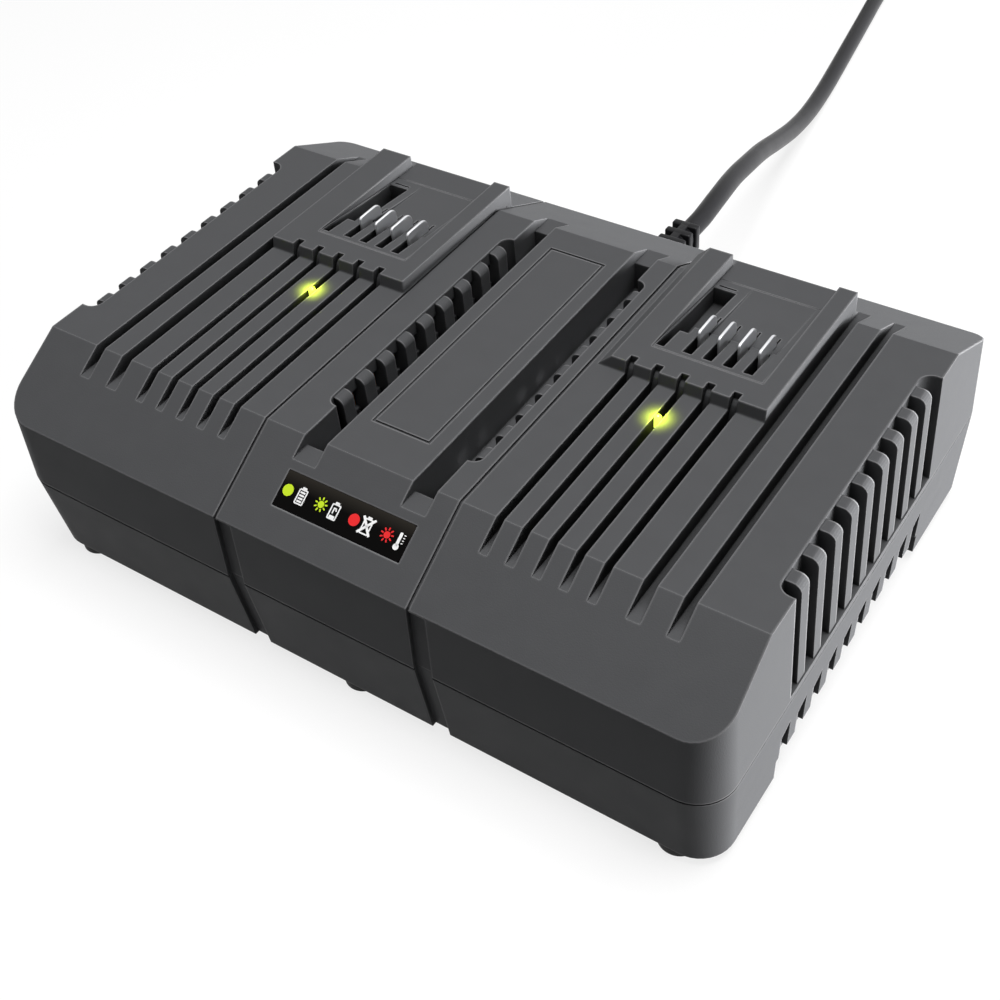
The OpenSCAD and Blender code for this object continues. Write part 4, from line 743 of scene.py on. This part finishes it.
# ---- Mains cord and its coil ----
# A round two-core cord with a black PVC sheath, 1.8 m long and 7.5 mm thick. It lies behind the
# charger and is wound up for storage, in two layers of turns that a strap holds.
cord_d = 7.5
exit_x, exit_y, exit_z = cord_x, relief_end, cord_z
strap_t = 0.7
rest_z = cord_d / 2 + 0.25
lie_z = cord_d / 2 + strap_t + 0.15
route = [(exit_x + x, exit_y + y, rest_z + share * (exit_z - rest_z)) for x, y, share in (
    (0, 0, 1), (0, 10, 1), (-2, 28, 0.977), (-5, 46, 0.907), (-8, 65, 0.791), (-12, 86, 0.628),
    (-16, 110, 0.419), (-20, 135, 0.221), (-24, 160, 0.081), (-28, 185, 0.014), (-32, 210, 0),
    (-36, 235, 0), (-40, 260, 0), (-44, 285, 0), (-47, 310, 0.005), (-49, 330, 0.012))]
route += [(exit_x - 50, exit_y + 346, lie_z), (exit_x - 50, exit_y + 356, lie_z)]


def through(points, steps):
    """Points of a smooth curve through the route; its two end stretches are straight."""
    made = [Vector(points[0])]
    for a, b, c, d in zip(points, points[1:], points[2:], points[3:]):
        a, b, c, d = map(Vector, (a, b, c, d))
        for k in range(steps):
            t = k / steps
            made.append(0.5 * (2 * b + (c - a) * t + (2 * a - 5 * b + 4 * c - d) * t * t
                               + (3 * b - a - 3 * c + d) * t ** 3))
    return made + [Vector(points[-2]), Vector(points[-1])]


coil_r, coil_pitch, coil_layer, coil_turns, coil_dip = 53, 8.2, 8, 2.375, 1.6
coil_in = coil_r - coil_pitch * coil_turns
coil_total = 2 * coil_turns + 0.5
coil_mid = Vector(route[-1]) + Vector((-coil_r, 8, 0))


def coil_point(turn):
    """The coil's middle line: inwards on the floor, up half a turn, and outwards on top."""
    climbed = max(0, min(1, (turn - coil_turns) / 0.5))
    if turn < coil_turns:
        r = coil_r - coil_pitch * turn
    elif turn > coil_turns + 0.5:
        r = coil_in + coil_pitch * (turn - coil_turns - 0.5)
    else:
        r = coil_in - coil_dip * math.sin(2 * math.pi * (turn - coil_turns))
    a = 2 * math.pi * turn
    lift = coil_layer * climbed * climbed * (3 - 2 * climbed)
    return coil_mid + Vector((r * math.cos(a), r * math.sin(a), lift))


coil_steps = 252
coil_end_r = coil_in + coil_pitch * (coil_total - coil_turns - 0.5)
coil_last = coil_mid + Vector((0, coil_end_r, coil_layer))
plug_lead = 34
line = through(route, 6) + [coil_point(coil_total * k / coil_steps) for k in range(coil_steps)]
line += [coil_last - Vector((out, 0, 0)) for out in (0, 8, 17, 26.5, plug_lead)]
cord_curve = bpy.data.curves.new("mains_cord_sheath", "CURVE")
cord_curve.dimensions = "3D"
cord_curve.bevel_depth = cord_d / 2 * mm
cord_curve.bevel_resolution = 6
cord_curve.use_fill_caps = True
spline = cord_curve.splines.new("POLY")
spline.points.add(len(line) - 1)
for point, at in zip(spline.points, line):
    point.co = (*(at * mm), 1)
cord = bpy.data.objects.new("mains_cord_sheath", cord_curve)
bpy.context.scene.collection.objects.link(cord)
cord_curve.materials.append(cord_black)
place_piece(cord, "cord_black", "mains_cord", "cord_coil")


# ---- Coil strap ----
# A nylon hook-and-loop strap, 8 mm wide, round both layers of turns. Its free end is lapped over
# on top.
strap_nylon = moulded("strap_nylon", (0.010, 0.010, 0.010), rough=0.85, grain=1.0,
                      specular=0.2, edge=0)
strap_w, strap_slack = 8, 0.6
lap_l, lap_w, lap_low, lap_high = 18, 7.6, 0.3, 1.25
strap_out = coil_in + coil_pitch * (coil_total - coil_turns - 1) + cord_d / 2 + strap_slack
strap_in = coil_in - coil_dip - cord_d / 2 - strap_slack
strap_top = lie_z + coil_layer + cord_d / 2 + 0.5
strap = plate(strap_top, strap_out - strap_in, corner=3.2, low=-strap_w / 2, high=strap_w / 2,
              steps=6)
bpy.ops.object.mode_set(mode="EDIT")
bpy.ops.mesh.select_all(action="DESELECT")
mesh = bmesh.from_edit_mesh(strap.data)
for face in mesh.faces:
    face.select = abs(face.normal.z) > 0.9
bmesh.update_edit_mesh(strap.data)
bpy.ops.mesh.delete(type="ONLY_FACE")
bpy.ops.object.mode_set(mode="OBJECT")
thickness = strap.modifiers.new("thickness", "SOLIDIFY")
thickness.thickness = strap_t * mm
thickness.offset = 0
bpy.ops.object.modifier_apply(modifier="thickness")
lap = lump((-strap_top / 2 - lap_high, -lap_l / 2, -lap_w / 2),
           (-strap_top / 2 - lap_low, lap_l / 2, lap_w / 2), corner=0.25)
strap_at = (Matrix.Translation((coil_mid.x * mm, (coil_mid.y - (strap_in + strap_out) / 2) * mm,
                                (strap_top + strap_t) / 2 * mm))
            @ Matrix.Rotation(math.pi / 2, 4, "Y"))
strap = as_one([strap, lap], "coil_strap", strap_nylon, "tie_black", "coil_tie", at=strap_at,
               smooth=40)


# ---- Mains plug ----
# A two-blade plug with a round earth pin, of the same black PVC, moulded round the cord's end.
# Ridges on its sides and rings on its neck give grip, and its blades are solid brass.
plug_x, plug_y, plug_z = coil_last.x - plug_lead, coil_last.y, coil_last.z
plug_l, plug_w, plug_t, neck_l = 32, 27, 25, 14
shoulder_l, shoulder_share = 9, (1, 0.56, 0.5)
ring_count, ring_first, ring_step, ring_l, ring_r, ring_growth = 3, 1.8, 3.6, 2.1, 5.4, 0.45
ridge_count, ridge_first, ridge_step, ridge_w, ridge_h = 5, 2.5, 3.2, 1.6, 16
ridge_low, ridge_high = -0.8, 0.7
pin_l, pin_gap, pin_t, pin_low, pin_high = 16, 12.7, 1.5, -4.2, 2.15
earth_l, earth_r, earth_z = 18.5, 2.4, 7


def turned(radius_from, radius_to, x_from, x_to, corner, z=0):
    """A round form along the plug, with softened rims."""
    bpy.ops.object.select_all(action="DESELECT")
    bpy.ops.mesh.primitive_cone_add(vertices=36, radius1=radius_from * mm, radius2=radius_to * mm,
                                    depth=(x_from - x_to) * mm, rotation=(0, -math.pi / 2, 0),
                                    location=((x_from + x_to) / 2 * mm, 0, z * mm))
    piece = bpy.context.object
    bpy.ops.object.transform_apply()
    bpy.ops.object.mode_set(mode="EDIT")
    bpy.ops.mesh.select_all(action="DESELECT")
    mesh = bmesh.from_edit_mesh(piece.data)
    for edge in mesh.edges:
        edge.select = any(len(face.verts) > 4 for face in edge.link_faces)
    bmesh.update_edit_mesh(piece.data)
    bpy.ops.mesh.bevel(offset=corner * mm, segments=4, affect="EDGES")
    bpy.ops.object.mode_set(mode="OBJECT")
    return piece


face_x, shoulder_x = -neck_l - plug_l, -neck_l - shoulder_l
body = lump((face_x, -plug_w / 2, -plug_t / 2), (-neck_l, plug_w / 2, plug_t / 2), corner=0)
bpy.ops.object.mode_set(mode="EDIT")
bpy.ops.mesh.select_all(action="DESELECT")
mesh = bmesh.from_edit_mesh(body.data)
for face in mesh.faces:
    if face.normal.x > 0.9:
        face.select = True
bmesh.update_edit_mesh(body.data)
bpy.ops.transform.resize(value=shoulder_share, center_override=(0, 0, 0))
bpy.ops.mesh.select_all(action="SELECT")
bpy.ops.mesh.bisect(plane_co=(shoulder_x * mm, 0, 0), plane_no=(1, 0, 0))
mesh = bmesh.from_edit_mesh(body.data)
for vert in mesh.verts:
    vert.select = abs(vert.co.x - shoulder_x * mm) < 1e-5
    if vert.select:
        vert.co.y = math.copysign(plug_w / 2 * mm, vert.co.y)
        vert.co.z = math.copysign(plug_t / 2 * mm, vert.co.z)
bmesh.update_edit_mesh(body.data)
bpy.ops.mesh.select_all(action="SELECT")
bpy.ops.mesh.normals_make_consistent(inside=False)
bpy.ops.mesh.bevel(offset=3 * mm, segments=5, affect="EDGES")
bpy.ops.object.mode_set(mode="OBJECT")
parts = [body, turned(cord_d / 2 + 0.75, cord_d / 2 + 2.5, 0, -neck_l - 1, corner=0.4)]
for ring in range(ring_count):
    ring_x, rim_r = -ring_first - ring_step * ring, ring_r + ring_growth * ring
    parts.append(turned(rim_r, rim_r + 0.1, ring_x, ring_x - ring_l, corner=0.5))
for side in (-1, 1):
    for ridge in range(ridge_count):
        ridge_x = shoulder_x - ridge_first - ridge_step * ridge
        flank = side * plug_w / 2
        parts.append(lump((ridge_x - ridge_w / 2, flank + ridge_low, -ridge_h / 2),
                          (ridge_x + ridge_w / 2, flank + ridge_high, ridge_h / 2), corner=0.5))
plug_at = Matrix.Translation((plug_x * mm, plug_y * mm, plug_z * mm))
plug_body = as_one(parts, "plug_body", relief_black, "plug_black", "mains_plug", at=plug_at,
                   smooth=38)

pin_brass = bare_metal("pin_brass", (0.80, 0.60, 0.30), 0.25, stretch=(0.1, 1, 1), edge=0.1)
parts = [lump((face_x - pin_l, side * pin_gap / 2 - pin_t / 2, pin_low),
              (face_x + 1, side * pin_gap / 2 + pin_t / 2, pin_high), corner=0.35)
         for side in (-1, 1)]
parts.append(turned(earth_r, earth_r, face_x + 1, face_x - earth_l, corner=1.1, z=earth_z))
plug_blades = as_one(parts, "plug_blades", pin_brass, "pin_brass", "plug_pins", at=plug_at,
                     smooth=38)
